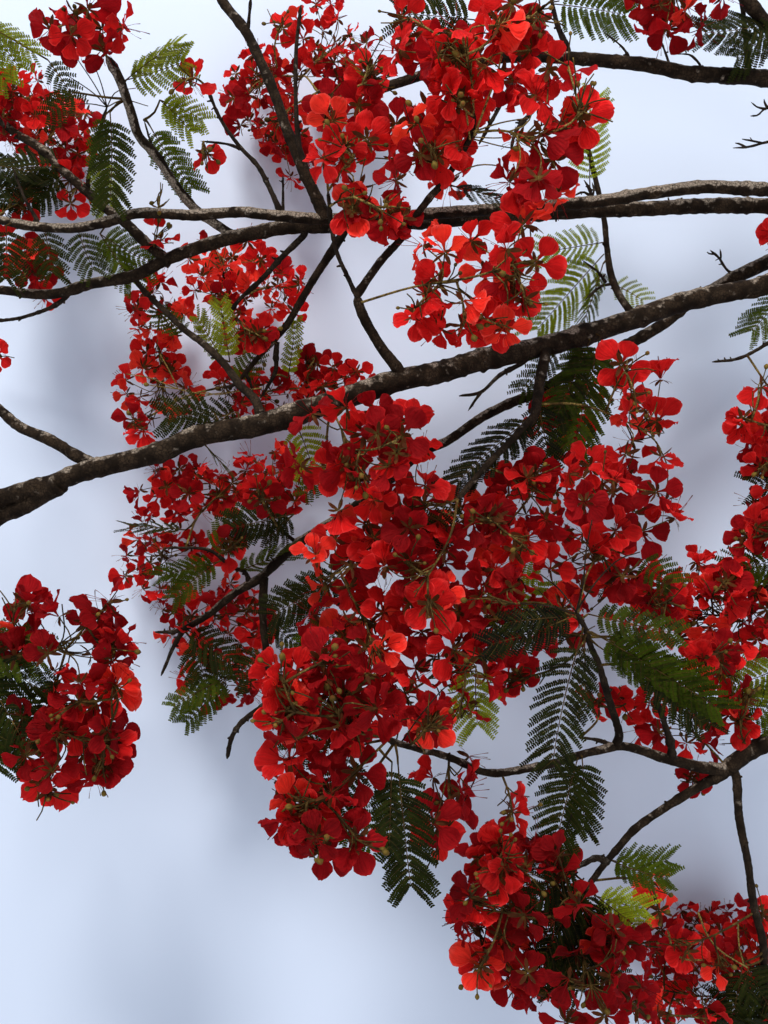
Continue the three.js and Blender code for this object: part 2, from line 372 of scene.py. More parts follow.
flushLooks = {
    "crimsonPetal": {"base": (0.23, 0.0032, 0.0055), "foot": (0.15, 0.014, 0.008),
                     "rim": (0.34, 0.007, 0.009),
                     "through": (0.50, 0.006, 0.009), "share": 0.35, "crumple": 1.0, "rough": 0.7},
    "scarletPetal": {"base": (0.53, 0.0085, 0.0085), "foot": (0.27, 0.026, 0.011),
                     "rim": (0.74, 0.034, 0.032),
                     "through": (0.88, 0.016, 0.014), "share": 0.38, "crumple": 1.0, "rough": 0.65},
    "orangePetal": {"base": (0.78, 0.024, 0.015), "foot": (0.45, 0.06, 0.016), "rim": (0.95, 0.085, 0.065),
                    "through": (1.0, 0.055, 0.024), "share": 0.40, "crumple": 1.0, "rough": 0.6},
    # dark, mid and pale leaflets: partly leaves of another colour, partly painted shade and light for leaves
    # in shade and in light
    "darkLeaflet": {"base": (0.012, 0.017, 0.0010), "foot": (0.016, 0.019, 0.001),
                    "rim": (0.010, 0.014, 0.0008),
                    "through": (0.035, 0.052, 0.002), "share": 0.22, "crumple": 0.2, "rough": 0.6,
                    "toneSpread": 1.5},
    "midLeaflet": {"base": (0.034, 0.052, 0.0016), "foot": (0.044, 0.050, 0.002),
                   "rim": (0.030, 0.042, 0.001),
                   "through": (0.10, 0.15, 0.004), "share": 0.3, "crumple": 0.2, "rough": 0.6,
                   "toneSpread": 1.6},
    "paleLeaflet": {"base": (0.16, 0.195, 0.008), "foot": (0.16, 0.18, 0.01), "rim": (0.14, 0.17, 0.007),
                    "through": (0.34, 0.41, 0.014), "share": 0.35, "crumple": 0.2, "rough": 0.6,
                    "toneSpread": 1.4},
    "sepal": {"base": (0.070, 0.020, 0.006), "foot": (0.085, 0.052, 0.012), "rim": (0.12, 0.026, 0.009),
              "through": (0.2, 0.05, 0.012), "share": 0.15, "crumple": 0.3, "rough": 0.7},
    "bud": {"base": (0.13, 0.085, 0.016), "foot": (0.08, 0.06, 0.014), "rim": (0.17, 0.06, 0.015),
            "through": (0.2, 0.12, 0.02), "share": 0.1, "crumple": 0.2, "rough": 0.6},
    "stamen": {"base": (0.20, 0.003, 0.006), "foot": (0.28, 0.02, 0.010), "rim": (0.06, 0.005, 0.005),
               "through": (0.4, 0.010, 0.010), "share": 0.15, "crumple": 0.1, "rough": 0.7},
}


def flushFinish(name):
    look = flushLooks[name]
    finish, nodes, links, shader, output = newFinish(name)
    flush = nodes.new("ShaderNodeGroup")
    flush.node_tree = flushGroup
    for socket, key in (("Base", "base"), ("Foot", "foot"), ("Rim", "rim")):
        flush.inputs[socket].default_value = (*look[key], 1)
    tone = nodes.new("ShaderNodeAttribute")
    tone.attribute_name = "tone"
    links.new(tone.outputs["Fac"], flush.inputs["Tone"])
    flush.inputs["Tone Spread"].default_value = look.get("toneSpread", 1.1)
    links.new(flush.outputs["Color"], shader.inputs["Base Color"])
    bump = nodes.new("ShaderNodeBump")
    bump.inputs["Strength"].default_value = look["crumple"]
    bump.inputs["Distance"].default_value = 0.003
    spot = nodes.new("ShaderNodeTexCoord")
    fold = noiseAt(nodes, links, spot.outputs["Object"], 120, 2)
    relief = mathNode(nodes, links, "ADD", fold,
                      mathNode(nodes, links, "MULTIPLY", flush.outputs["Height"], 1.2))
    links.new(relief, bump.inputs["Height"])
    links.new(bump.outputs["Normal"], shader.inputs["Normal"])
    shader.inputs["Roughness"].default_value = look["rough"]
    shader.inputs["Specular IOR Level"].default_value = 0.08
    through = nodes.new("ShaderNodeBsdfTranslucent")
    through.inputs["Color"].default_value = (*look["through"], 1)
    mix = nodes.new("ShaderNodeMixShader")
    mix.inputs["Fac"].default_value = look["share"]
    links.new(shader.outputs["BSDF"], mix.inputs[1])
    links.new(through.outputs["BSDF"], mix.inputs[2])
    links.new(mix.outputs["Shader"], output.inputs["Surface"])
    return finish


def sawnFinish():
    finish, nodes, links, shader, output = newFinish("sawnWood")
    spot = nodes.new("ShaderNodeTexCoord")
    streak = noiseAt(nodes, links, spot.outputs["Object"], 60, 4)
    tone = mixColour(nodes, links, stepUp(nodes, links, streak, 0.35, 0.7),
                     (0.52, 0.36, 0.19, 1), (0.70, 0.54, 0.33, 1))
    fine = noiseAt(nodes, links, spot.outputs["Object"], 420, 3)
    tone = mixColour(nodes, links, mathNode(nodes, links, "MULTIPLY", fine, 0.4), tone, (0.33, 0.20, 0.10, 1))
    links.new(tone, shader.inputs["Base Color"])
    bump = nodes.new("ShaderNodeBump")
    bump.inputs["Strength"].default_value = 0.3
    bump.inputs["Distance"].default_value = 0.001
    links.new(fine, bump.inputs["Height"])
    links.new(bump.outputs["Normal"], shader.inputs["Normal"])
    shader.inputs["Roughness"].default_value = 0.8
    return finish


finishes = {name: barkFinish(name) for name in barkLooks} | {name: flushFinish(name) for name in flushLooks}
finishes["sawnWood"] = sawnFinish()

# limbs

limbs = {
    "main_limb": {
        "route": [[1060, 330, 72], [1000, 272, 150], [935, 226, 245], [865, 214, 287]],
        "across": [122, 108, 92, 70], "sawnFoot": True},
    "long_bough": {
        "route": [[890, 217, 273], [840, 243, 285], [768, 283, 302], [735, 291, 318], [700, 298, 335],
                  [670, 306, 352], [640, 317, 375], [600, 330, 405], [560, 342, 433], [520, 352, 462],
                  [480, 360, 490], [440, 372, 518], [400, 380, 545], [360, 393, 565], [330, 403, 577],
                  [290, 415, 585], [260, 425, 589], [220, 431, 590], [190, 439, 589], [160, 452, 585],
                  [130, 460, 580], [100, 467, 575], [85, 471, 570], [50, 484, 552], [25, 491, 538],
                  [0, 498, 525], [-30, 506, 510], [-53, 512, 500]],
        "across": [50, 44, 46, 47, 48, 46, 40, 38], "sawnTip": True, "otherNodes": ["long_bough_end"]},
    "upper_bough": {
        "route": [[875, 215, 282], [820, 198, 330], [768, 190, 370], [735, 188, 392], [700, 187, 410],
                  [650, 193, 435], [600, 201, 450], [550, 205, 453], [500, 209, 456], [440, 213, 457],
                  [390, 217, 456], [325, 219, 455], [270, 215, 448], [240, 212, 443], [190, 215, 436],
                  [140, 213, 429], [110, 221, 421], [75, 228, 410], [30, 226, 390], [0, 220, 370],
                  [-44, 214, 332]],
        "across": [40, 31, 27, 26, 25, 24, 22, 19], "sawnTip": True},
    "second_bough": {
        "route": [[885, 217, 275], [820, 210, 297], [768, 206, 312], [700, 206, 335], [640, 209, 362],
                  [570, 211, 378], [500, 216, 380], [440, 220, 380], [390, 223, 379], [330, 226, 378],
                  [290, 227, 376], [260, 232, 373], [230, 238, 368], [200, 247, 360], [170, 258, 350],
                  [150, 268, 340], [130, 277, 329], [90, 284, 303], [60, 293, 283], [30, 294, 262],
                  [0, 290, 245], [-44, 290, 221]],
        "across": [46, 35, 33, 34, 34, 30, 25, 20], "sawnTip": True},
    "crossing_bough": {
        "route": [[910, 220, 260], [850, 234, 243], [800, 248, 234], [768, 262, 230], [740, 275, 234],
                  [715, 289, 240], [690, 301, 247], [663, 324, 262], [625, 346, 284], [590, 362, 304],
                  [564, 376, 318], [540, 392, 333], [513, 402, 347], [481, 418, 362], [449, 440, 376],
                  [420, 454, 382], [380, 488, 389], [333, 521, 390], [299, 543, 378], [275, 564, 366],
                  [259, 579, 358], [235, 593, 345], [208, 615, 330], [181, 631, 318]],
        "across": [40, 36, 30, 26, 22, 20, 22, 14]},
    "corner_bough": {
        "route": [[920, 222, 255], [855, 125, 320], [810, 75, 368], [768, 26, 410], [745, -2, 432],
                  [725, -24, 450], [665, -34, 490]],
        "across": [44, 36, 30, 22]},
    "top_bough": {
        "route": [[855, 125, 320], [812, 96, 345], [768, 79, 360], [727, 76, 378], [687, 73, 393],
                  [647, 65, 400], [607, 61, 404], [551, 57, 404], [505, 57, 385], [460, 66, 358],
                  [420, 76, 335], [380, 88, 310], [340, 95, 285], [318, 92, 270]],
        "across": [35, 36, 31, 27, 24, 20]},
    "lower_bough_foot": {
        "route": [[1000, 272, 150], [1008, 360, 190], [985, 470, 250], [930, 570, 315]],
        "across": [68, 60]},
    "lower_bough": {
        "route": [[930, 570, 315], [893, 622, 352], [850, 672, 390], [805, 715, 415], [768, 741, 433],
                  [750, 751, 440], [725, 770, 452]],
        "across": [52, 43, 37]},
    "lower_bough_left_fork": {
        "route": [[725, 770, 452], [700, 767, 470], [680, 762, 482], [660, 757, 493], [640, 750, 506],
                  [620, 746, 517], [600, 750, 531], [580, 755, 546], [555, 763, 565], [530, 768, 586],
                  [500, 773, 612], [480, 771, 631], [465, 764, 652], [445, 756, 686], [420, 749, 724],
                  [400, 744, 750], [385, 738, 765]],
        "across": [27, 20, 17, 15, 12]},
    "lower_bough_middle_fork": {
        "route": [[725, 771, 452], [721, 775, 454], [693, 790, 462], [660, 811, 470], [635, 829, 486],
                  [617, 849, 500], [603, 866, 523], [589, 885, 549], [574, 908, 572], [572, 916, 579]],
        "across": [23, 18, 15, 11]},
    "lower_bough_right_fork": {
        "route": [[725, 771, 452], [736, 776, 450], [739, 817, 436], [748, 864, 398], [754, 907, 358],
                  [763, 943, 315], [764, 979, 272], [762, 1010, 230], [766, 1035, 200]],
        "across": [20, 17, 19, 18]},
    "leafy_shoot": {
        "route": [[616, 745, 520], [619, 733, 538], [609, 700, 590], [599, 665, 643], [591, 647, 668],
                  [585, 628, 695], [576, 612, 718]],
        "across": [17, 15, 10]},
    "rising_branch": {
        "route": [[325, 220, 455], [320, 206, 460], [308, 180, 472], [297, 155, 476], [285, 125, 474],
                  [275, 95, 470], [262, 65, 460], [245, 30, 446], [222, 0, 431], [204, -40, 401]],
        "across": [27, 23, 22, 20], "sawnTip": True},
    "falling_branch": {
        "route": [[345, 228, 378], [339, 240, 370], [315, 277, 343], [301, 301, 320], [288, 323, 298],
                  [275, 339, 280], [256, 360, 256], [240, 380, 235]],
        "across": [20, 18, 15, 11]},
    "left_branch": {
        "route": [[170, 262, 350], [165, 259, 349], [140, 237, 335], [125, 222, 326], [105, 208, 317],
                  [85, 190, 305], [60, 168, 290], [40, 148, 275], [15, 133, 256], [0, 120, 243],
                  [-30, 95, 215]],
        "across": [26, 22, 21, 17]},
    "top_left_branch": {
        "route": [[235, 238, 368], [227, 232, 366], [199, 212, 365], [187, 200, 376], [171, 179, 402],
                  [157, 157, 431], [139, 136, 466], [131, 112, 506], [120, 80, 560], [107, 57, 600]],
        "across": [22, 20, 21, 19], "litSide": [-0.72, -0.25, 0.65]},
    "long_bough_upper_twin": {
        "route": [[103, 469, 575], [75, 455, 560], [50, 440, 545], [20, 427, 516], [0, 410, 492],
                  [-41, 378, 451]],
        "across": [26, 23, 18], "sawnTip": True},
    "long_bough_lower_twin": {
        "route": [[60, 483, 560], [35, 500, 535], [20, 508, 522], [0, 517, 507], [-25, 540, 499],
                  [-42, 572, 500], [-40, 635, 560]],
        "across": [40, 32, 22]},
    "upturned_branch": {
        "route": [[402, 379, 545], [397, 368, 556], [381, 347, 578], [365, 320, 603], [356, 296, 620]],
        "across": [25, 21, 20]},
    "blossom_stem": {
        "route": [[356, 296, 620], [380, 262, 637], [400, 240, 652], [415, 217, 668], [432, 195, 690],
                  [445, 180, 702], [470, 138, 722], [474, 112, 733]],
        "across": [17, 15, 14, 10]},
    "hanging_branch": {
        "route": [[545, 345, 440], [545, 356, 470], [540, 380, 515], [537, 401, 555], [533, 418, 592],
                  [513, 439, 625], [492, 460, 650], [473, 481, 672], [458, 499, 690]],
        "across": [26, 22, 15, 12]},
    "slanting_branch": {
        "route": [[262, 421, 580], [255, 400, 550], [240, 385, 520], [225, 365, 480], [205, 345, 430],
                  [185, 330, 385], [165, 311, 340], [145, 292, 295], [122, 264, 255]],
        "across": [20, 15, 12]},
    "pale_leaf_shoot": {
        "route": [[636, 319, 377], [620, 296, 358], [611, 275, 337], [607, 248, 308], [604, 219, 288],
                  [598, 190, 265], [586, 140, 240]],
        "across": [18, 14, 11]},
    "drooping_twig": {
        "route": [[264, 578, 360], [263, 607, 353], [264, 633, 348], [268, 660, 345], [271, 690, 349],
                  [272, 700, 350]],
        "across": [20, 17, 15]},
    "right_side_branch": {
        "route": [[930, 570, 315], [865, 560, 350], [815, 575, 370], [760, 590, 380]],
        "across": [34, 20]},
}

barkRelief = {
    "step": 0.008,
    "girthStep": 0.0075,
    "fewestSides": 9,
    "mostSides": 26,
    "footSwelling": 0.16,
    "footLength": 0.03,
    "knotEvery": 0.11,
    "knotRise": 0.17,
    "lumpRise": 0.08,
    "lumpSize": 0.045,
    "grainRise": 0.0009,
    "grainSize": 0.008,
    "sawnRim": 0.9,
    "tipRounding": 0.012,
}
limbNodes = {"ringEvery": 0.030, "ringRise": 0.10, "ringLength": 0.006, "spurEvery": 0.16,
             "spurLength": [0.002, 0.006]}
twigNodes = {"ringEvery": 0.022, "ringRise": 0.22, "ringLength": 0.005, "spurEvery": 0.040,
             "spurLength": [0.003, 0.008]}
# painted highlight on the side of the bark that faces the light: where it starts, how fast it grows, how
# noise breaks it up
litSideHighlight = {"lightDirection": (0.0, 0.97, 0.24), "start": 0.30, "spread": 0.3, "full": 1.0, "broken": 1.1,
             "breakSize": 0.045}
# how strongly each limb's lit side is painted paler: painted highlight
highlightStrengthOf = {"upper_bough": 2.4, "top_left_branch": 2.2, "second_bough": 1.2, "long_bough": 0.75,
             "long_bough_upper_twin": 0.7, "long_bough_lower_twin": 0.6, "left_branch": 1.2,
             "lower_bough": 0.4, "lower_bough_right_fork": 0.4, "lower_bough_middle_fork": 0.4,
             "top_bough": 0.7,
             "hanging_branch": 0.2, "slanting_branch": 0.3, "falling_branch": 0.3, "rising_branch": 0.6,
             "lower_bough_left_fork": 0.8, "leafy_shoot": 0.3}

growth = {"places": [], "weights": []}  # where a stalk may spring from


def springFrom(path, tipBonus=0.75):
    weights = np.ones(len(path))
    weights[int(len(path) * 0.8):] = tipBonus
    growth["places"] += list(path[::2])
    growth["weights"] += list(weights[::2])


def addSpurs(bundle, path, radii, nodesLook, rng):
    # short stubs, where leaves and flower stalks have fallen
    tangents, sideways, up = pathFrames(path)
    length = np.linalg.norm(np.diff(path, axis=0), axis=1).sum()
    for spur in range(int(length / nodesLook["spurEvery"])):
        i = int(rng.integers(2, len(path) - 2))
        turn = rng.uniform(0, 2 * math.pi)
        out = sideways[i] * math.cos(turn) + up[i] * math.sin(turn)
        long = rng.uniform(*nodesLook["spurLength"])
        foot = path[i] + out * radii[i] * 0.75
        tip = path[i] + out * (radii[i] + long) + tangents[i] * long * rng.uniform(-0.2, 0.9)
        thick = min(0.5 * radii[i], rng.uniform(0.0020, 0.0038))
        tip[2], foot[2] = max(tip[2], 0.003), max(foot[2], 0.003)
        addTube(bundle, np.array([foot, (foot + tip) / 2, tip]), [thick * 1.4, thick, thick * 0.7], 5)


def litSideHighlightAt(ring, points, strength, litSide):
    # paler bark, with more of its lichen patches, on the side that faces the light: a painted highlight
    look = litSideHighlight
    start = look["start"] - look["spread"] * (strength - 1)
    lean = (ring @ np.array(litSide) - start) / (look["full"] - start)
    cover = np.clip(lean, 0, 1).reshape(-1) * strength
    breaks = np.array([noise.noise(Vector(p) / look["breakSize"]) for p in points])
    return np.clip(cover * (1 + look["broken"] * breaks), 0, 2)


def addBarkTube(bundle, route, across, seed, sawnFoot=False, sawnTip=False, nodesLook=limbNodes, strength=1.0,
                litSide=litSideHighlight["lightDirection"]):
    relief = barkRelief
    rng = np.random.default_rng(seed)
    path, stops = smoothPath([placeOf(place) for place in route], relief["step"])
    length = stops[-1]
    radii = np.interp(stops / length, np.linspace(0, 1, len(across)), np.array(across) / 2000)
    radii = radii * (1 + relief["footSwelling"] * np.exp(-stops / relief["footLength"]))
    for place in rng.uniform(0, length, int(length / nodesLook["ringEvery"])):
        radii = radii * (1 + nodesLook["ringRise"] * rng.uniform(0.3, 1.3)
                         * np.exp(-((stops - place) / nodesLook["ringLength"])**2))
    if not sawnTip:
        tip = np.clip((length - stops) / relief["tipRounding"], 0, 1)
        radii = radii * (0.35 + 0.65 * np.sqrt(tip))
    widest = float(radii.max())
    sides = int(np.clip(2 * math.pi * widest / relief["girthStep"], relief["fewestSides"],
                        relief["mostSides"]))
    tangents, sideways, up = pathFrames(path)
    angles = np.linspace(0, 2 * math.pi, sides, endpoint=False)
    reach = np.repeat(radii[:, None], sides, axis=1)
    for knot in range(int(length / relief["knotEvery"])):
        place, turn = rng.uniform(0.03, length), rng.uniform(0, 2 * math.pi)
        here = float(np.interp(place, stops, radii))
        gapAlong = (stops[:, None] - place) / (here * 0.6)
        gapRound = (np.mod(angles[None, :] - turn + math.pi, 2 * math.pi) - math.pi) / 0.5
        reach += here * relief["knotRise"] * rng.uniform(0.4, 1) * np.exp(-gapAlong**2 - gapRound**2)
    ring = (sideways[:, None] * np.cos(angles)[None, :, None] + up[:, None] * np.sin(angles)[None, :, None])
    points = path[:, None] + ring * reach[:, :, None]
    for i in range(len(path)):
        for k in range(sides):
            spot = Vector(points[i, k])
            lump = noise.noise(spot / relief["lumpSize"]) * relief["lumpRise"] * radii[i]
            grain = noise.noise(spot / relief["grainSize"]) * relief["grainRise"]
            points[i, k] += ring[i, k] * (lump + grain)
    points[:, :, 2] = np.maximum(points[:, :, 2], 0.001)
    flat = points.reshape(-1, 3)
    last = len(flat) - sides
    bundle.add(flat, gridFaces(len(path), sides, True), 0, litSideHighlightAt(ring, flat, strength, litSide))
    for sawn, first, centre, forward in ((sawnFoot, 0, path[0], False), (sawnTip, last, path[-1], True)):
        rimRing = flat[first:first + sides]
        if sawn:
            inner = centre + (rimRing - centre) * relief["sawnRim"]
            if forward:
                bundle.add(np.vstack([rimRing, inner]), gridFaces(2, sides, True))
                bundle.add(inner, [tuple(range(sides))], 1)
            else:
                bundle.add(np.vstack([inner, rimRing]), gridFaces(2, sides, True))
                bundle.add(inner, [tuple(range(sides - 1, -1, -1))], 1)
        else:
            order = range(sides) if forward else range(sides - 1, -1, -1)
            bundle.add(rimRing, [tuple(order)])
    addSpurs(bundle, path, radii, nodesLook, rng)
    springFrom(path)
    return path


for number, (name, limb) in enumerate(limbs.items()):
    limbBundle = Bundle()
    addBarkTube(limbBundle, limb["route"], limb["across"], 100 + number, limb.get("sawnFoot", False),
                limb.get("sawnTip", False), strength=highlightStrengthOf.get(name, 1.0),
                litSide=limb.get("litSide", litSideHighlight["lightDirection"]))
    piece = makePiece("bark_" + name, limbBundle, [finishes["boughBark"], finishes["sawnWood"]])
    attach(piece, "root")
    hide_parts(name, *limb.get("otherNodes", []))
print("limbs:", len(limbs))

# bare and dead twigs: route, and thickness at foot and tip in mm

twigs = [
    ([[567, 58, 404], [567, 48, 410], [557, 24, 420], [551, -2, 426]], 15, 8),
    ([[537, 57, 402], [537, 64, 410], [513, 83, 430], [495, 115, 450], [479, 144, 470]], 14, 7),
    ([[551, 58, 404], [546, 80, 430], [543, 99, 450], [529, 115, 465], [516, 131, 480], [511, 149, 495]],
     14, 7),
    ([[630, 64, 402], [628, 55, 405], [620, 45, 410], [605, 33, 415]], 6, 3),
    ([[670, 71, 396], [668, 60, 400], [655, 25, 412]], 6, 3),
    ([[703, 74, 388], [700, 65, 390], [690, 55, 395], [675, 54, 398]], 6, 3),
    ([[749, 77, 368], [748, 65, 372], [742, 0, 400], [741, -12, 405]], 14, 10),
    ([[850, 130, 318], [800, 138, 330], [768, 142, 338], [748, 147, 343], [733, 148, 345]], 12, 4),
    ([[762, 143, 339], [753, 141, 342], [742, 139, 344]], 5, 3),
    ([[745, 147, 343], [740, 144, 345], [735, 143, 346]], 5, 3),
    ([[845, 118, 325], [795, 110, 340], [768, 108, 346], [758, 115, 349], [750, 116, 350]], 12, 4),
    ([[766, 109, 346], [757, 107, 349], [751, 102, 351]], 5, 3),
    ([[768, 108, 346], [765, 104, 347], [764, 99, 349]], 5, 3),
    ([[592, 200, 452], [590, 190, 455], [584, 180, 458]], 8, 4),
    ([[591, 196, 453], [583, 192, 456], [574, 196, 458]], 6, 4),
    ([[592, 198, 452], [594, 190, 455], [592, 182, 458]], 5, 3),
    ([[281, 214, 449], [269, 187, 462], [257, 165, 472], [240, 147, 480], [221, 120, 488], [205, 83, 495]],
     12, 6),
    ([[240, 149, 479], [227, 144, 482], [200, 141, 488]], 7, 3),
    ([[283, 214, 449], [283, 195, 455], [283, 175, 462]], 7, 4),
    ([[314, 192, 468], [312, 181, 475], [300, 149, 490], [296, 107, 500], [296, 53, 505], [301, 5, 505]],
     12, 7),
    ([[247, 33, 447], [248, 29, 450], [251, -4, 460]], 8, 6),
    ([[304, 228, 378], [304, 235, 372], [280, 259, 350], [261, 280, 330], [240, 299, 310], [229, 315, 295]],
     16, 8),
    ([[277, 342, 278], [276, 355, 268], [275, 373, 255], [261, 397, 235]], 12, 7),
    ([[240, 381, 236], [231, 386, 232], [220, 387, 228]], 9, 5),
    ([[246, 374, 245], [251, 385, 240], [253, 398, 235]], 8, 5),
    ([[229, 315, 295], [224, 318, 300], [215, 305, 305]], 6, 3),
    ([[88, 190, 306], [88, 184, 308], [91, 165, 318], [99, 133, 330], [107, 107, 340]], 11, 6),
    ([[37, 226, 393], [37, 220, 395], [24, 197, 400], [13, 168, 405]], 8, 4),
    ([[157, 157, 431], [150, 140, 440], [144, 120, 450]], 6, 3),
    ([[70, 290, 289], [65, 298, 282], [50, 308, 270], [20, 318, 250], [-5, 321, 235]], 11, 8),
    ([[72, 290, 290], [70, 283, 293], [52, 270, 300]], 6, 4),
    ([[525, 350, 458], [525, 361, 465], [500, 375, 475], [481, 392, 485], [459, 396, 490]], 11, 6),
    ([[481, 392, 485], [474, 402, 488], [468, 411, 490]], 7, 4),
    ([[357, 297, 619], [349, 280, 625], [337, 253, 632], [331, 224, 640], [328, 191, 648]], 10, 7),
    ([[250, 586, 353], [245, 572, 358], [232, 567, 362], [213, 552, 368], [197, 548, 371], [165, 548, 376]],
     11, 5),
    ([[299, 543, 378], [297, 543, 378], [275, 525, 385]], 8, 5),
    ([[183, 630, 318], [170, 632, 316], [155, 632, 314]], 11, 6),
    ([[183, 630, 318], [172, 650, 316], [167, 662, 315], [161, 676, 313]], 12, 6),
    ([[272, 698, 350], [268, 703, 350], [261, 708, 350], [243, 721, 352], [232, 737, 354], [227, 759, 356]],
     16, 9),
    ([[830, 248, 287], [800, 320, 320], [768, 343, 335], [740, 358, 345], [712, 362, 350]], 14, 6),
    ([[738, 276, 236], [727, 270, 246], [719, 258, 256], [710, 250, 262]], 7, 4),
    ([[720, 260, 254], [721, 255, 257], [720, 249, 262]], 5, 3),
    ([[714, 254, 258], [710, 254, 262], [707, 252, 264]], 4, 3),
    ([[672, 760, 488], [671, 745, 500], [663, 719, 530], [656, 697, 555]], 17, 10),
    ([[614, 746, 520], [612, 745, 520], [597, 740, 524], [577, 737, 530]], 9, 5),
    ([[608, 862, 517], [597, 858, 530], [585, 863, 540], [572, 870, 552]], 15, 9),
    ([[606, 283, 342], [598, 272, 345], [582, 260, 350]], 7, 4),
    ([[611, 284, 345], [600, 287, 348], [585, 300, 352]], 7, 4),
    ([[-30, 95, 215], [-50, 74, 330], [-48, 44, 460], [-26, 24, 555]], 10, 5),
    ([[-30, 95, 215], [-44, 110, 270], [-40, 134, 320], [-34, 150, 345]], 8, 4),
]

twigBundle = Bundle()
for number, (route, foot, tip) in enumerate(twigs):
    addBarkTube(twigBundle, route, [foot, (foot + tip) / 2, tip], 300 + number, nodesLook=twigNodes,
                strength=0.5)
print("twigs:", len(twigs))

# small shapes that are scattered by Geometry Nodes

petalShape = {
    "rows": [0.0, 0.16, 0.31, 0.40, 0.50, 0.61, 0.73, 0.84, 0.93, 0.985],
    "halfWidths": [0.030, 0.038, 0.075, 0.210, 0.320, 0.380, 0.390, 0.335, 0.235, 0.115],
    "columns": [-1.0, -0.5, 0.0, 0.5, 1.0],
    "frill": 0.022,
}


def shapeObject(name, points, faces, places, folder):
    mesh = bpy.data.meshes.new(name)
    mesh.from_pydata([tuple(p) for p in points], [], faces)
    layer = mesh.uv_layers.new(name="UVMap")
    for loop in mesh.loops:
        layer.data[loop.index].uv = places[loop.vertex_index]
    mesh.polygons.foreach_set("use_smooth", [True] * len(mesh.polygons))
    shape = bpy.data.objects.new(name, mesh)
    folder.objects.link(shape)
    return shape


def petalForm(cup, arch, curl, crinkle, phase):
    # a narrow claw that opens into a round, frilled blade
    rows, widths, columns = petalShape["rows"], petalShape["halfWidths"], petalShape["columns"]
    points, places = [], []
    for i, (t, half) in enumerate(zip(rows, widths)):
        blade = max(0.0, min(1.0, (t - 0.32) / 0.2))
        for y in columns:
            rim = max(abs(y), (t - 0.55) / 0.43)**2 * blade
            frill = 1 + petalShape["frill"] * blade * math.sin(2.9 * i + 2 * y + phase)
            x = t + 0.030 * blade * (1 - y * y) * max(0.0, t - 0.5) / 0.5 - 0.5 * curl * max(0.0, t - 0.6)**2
            x += 0.014 * rim * math.sin(7 * y + phase)
            z = arch * math.sin(math.pi * t * 0.9) + cup * half * y * y * blade - curl * max(0.0, t - 0.5)**2
            z += (crinkle * rim * math.sin(7.5 * y + 15 * t + phase)
                  + 0.4 * crinkle * blade * math.sin(8 * t + 2 * phase))
            points.append((x, half * y * frill, z))
            places.append((t, 0.5 + 0.5 * y))
    return points, gridFaces(len(rows), len(columns), False), places


def slimForm(lengths, radii, bend, sides):
    points, places = [], []
    for t, r in zip(lengths, radii):
        for k in range(sides):
            angle = 2 * math.pi * k / sides
            points.append((t, r * math.cos(angle), r * math.sin(angle) + bend * t * t))
            places.append((t, 0.5 + 0.3 * math.cos(angle)))
    faces = gridFaces(len(lengths), sides, True)
    faces.append(tuple(range(sides - 1, -1, -1)))
    faces.append(tuple(range(len(points) - sides, len(points))))
    return points, faces, places


def leafForm(fold, widest):
    points = [(0, -0.75 * widest, 0), (0.5, -widest, fold), (1, -0.35 * widest, 0), (1, 0.35 * widest, 0),
              (0.5, widest, fold), (0, 0.75 * widest, 0)]
    places = [(0, 0.1), (0.5, 0), (1, 0.3), (1, 0.7), (0.5, 1), (0, 0.9)]
    return points, [(0, 1, 4, 5), (1, 2, 3, 4)], places


def newFolder(name, forms):
    folder = bpy.data.collections.new(name)
    for number, (points, faces, places) in enumerate(forms):
        shapeObject(f"{name}_{number}", points, faces, places, folder)
    return folder


folders = {
    "petal": newFolder("petalShapes", [petalForm(0.28, 0.08, 0.25, 0.05, 0.4),
                                       petalForm(0.50, 0.12, -0.2, 0.06, 1.7),
                                       petalForm(-0.32, 0.05, 0.4, 0.06, 2.9),
                                       petalForm(0.4, -0.08, 0.6, 0.05, 4.1),
                                       petalForm(0.15, 0.15, -0.4, 0.06, 5.3)]),
    "sepal": newFolder("sepalShapes", [([(0, -0.07, 0), (0, 0.07, 0), (0.45, -0.15, 0.04), (0.45, 0.15, 0.04),
                                         (0.8, -0.11, 0.0), (0.8, 0.11, 0.0), (1, 0, -0.05)],
                                        [(0, 2, 3, 1), (2, 4, 5, 3), (4, 6, 5)],
                                        [(0, 0.3), (0, 0.7), (0.45, 0), (0.45, 1), (0.8, 0.1), (0.8, 0.9),
                                         (1, 0.5)])]),
    "stamen": newFolder("stamenShapes", [slimForm([0, 0.7, 1.0], [0.015, 0.009, 0.022], 0.18, 3)]),
    "bud": newFolder("budShapes", [slimForm([0, 0.12, 0.35, 0.62, 0.85, 1.0],
                                            [0.1, 0.22, 0.36, 0.40, 0.27, 0.07],
                                            0.0, 6)]),
    "leaflet": newFolder("leafletShapes", [leafForm(0.05, 0.36), leafForm(-0.05, 0.40)]),
}


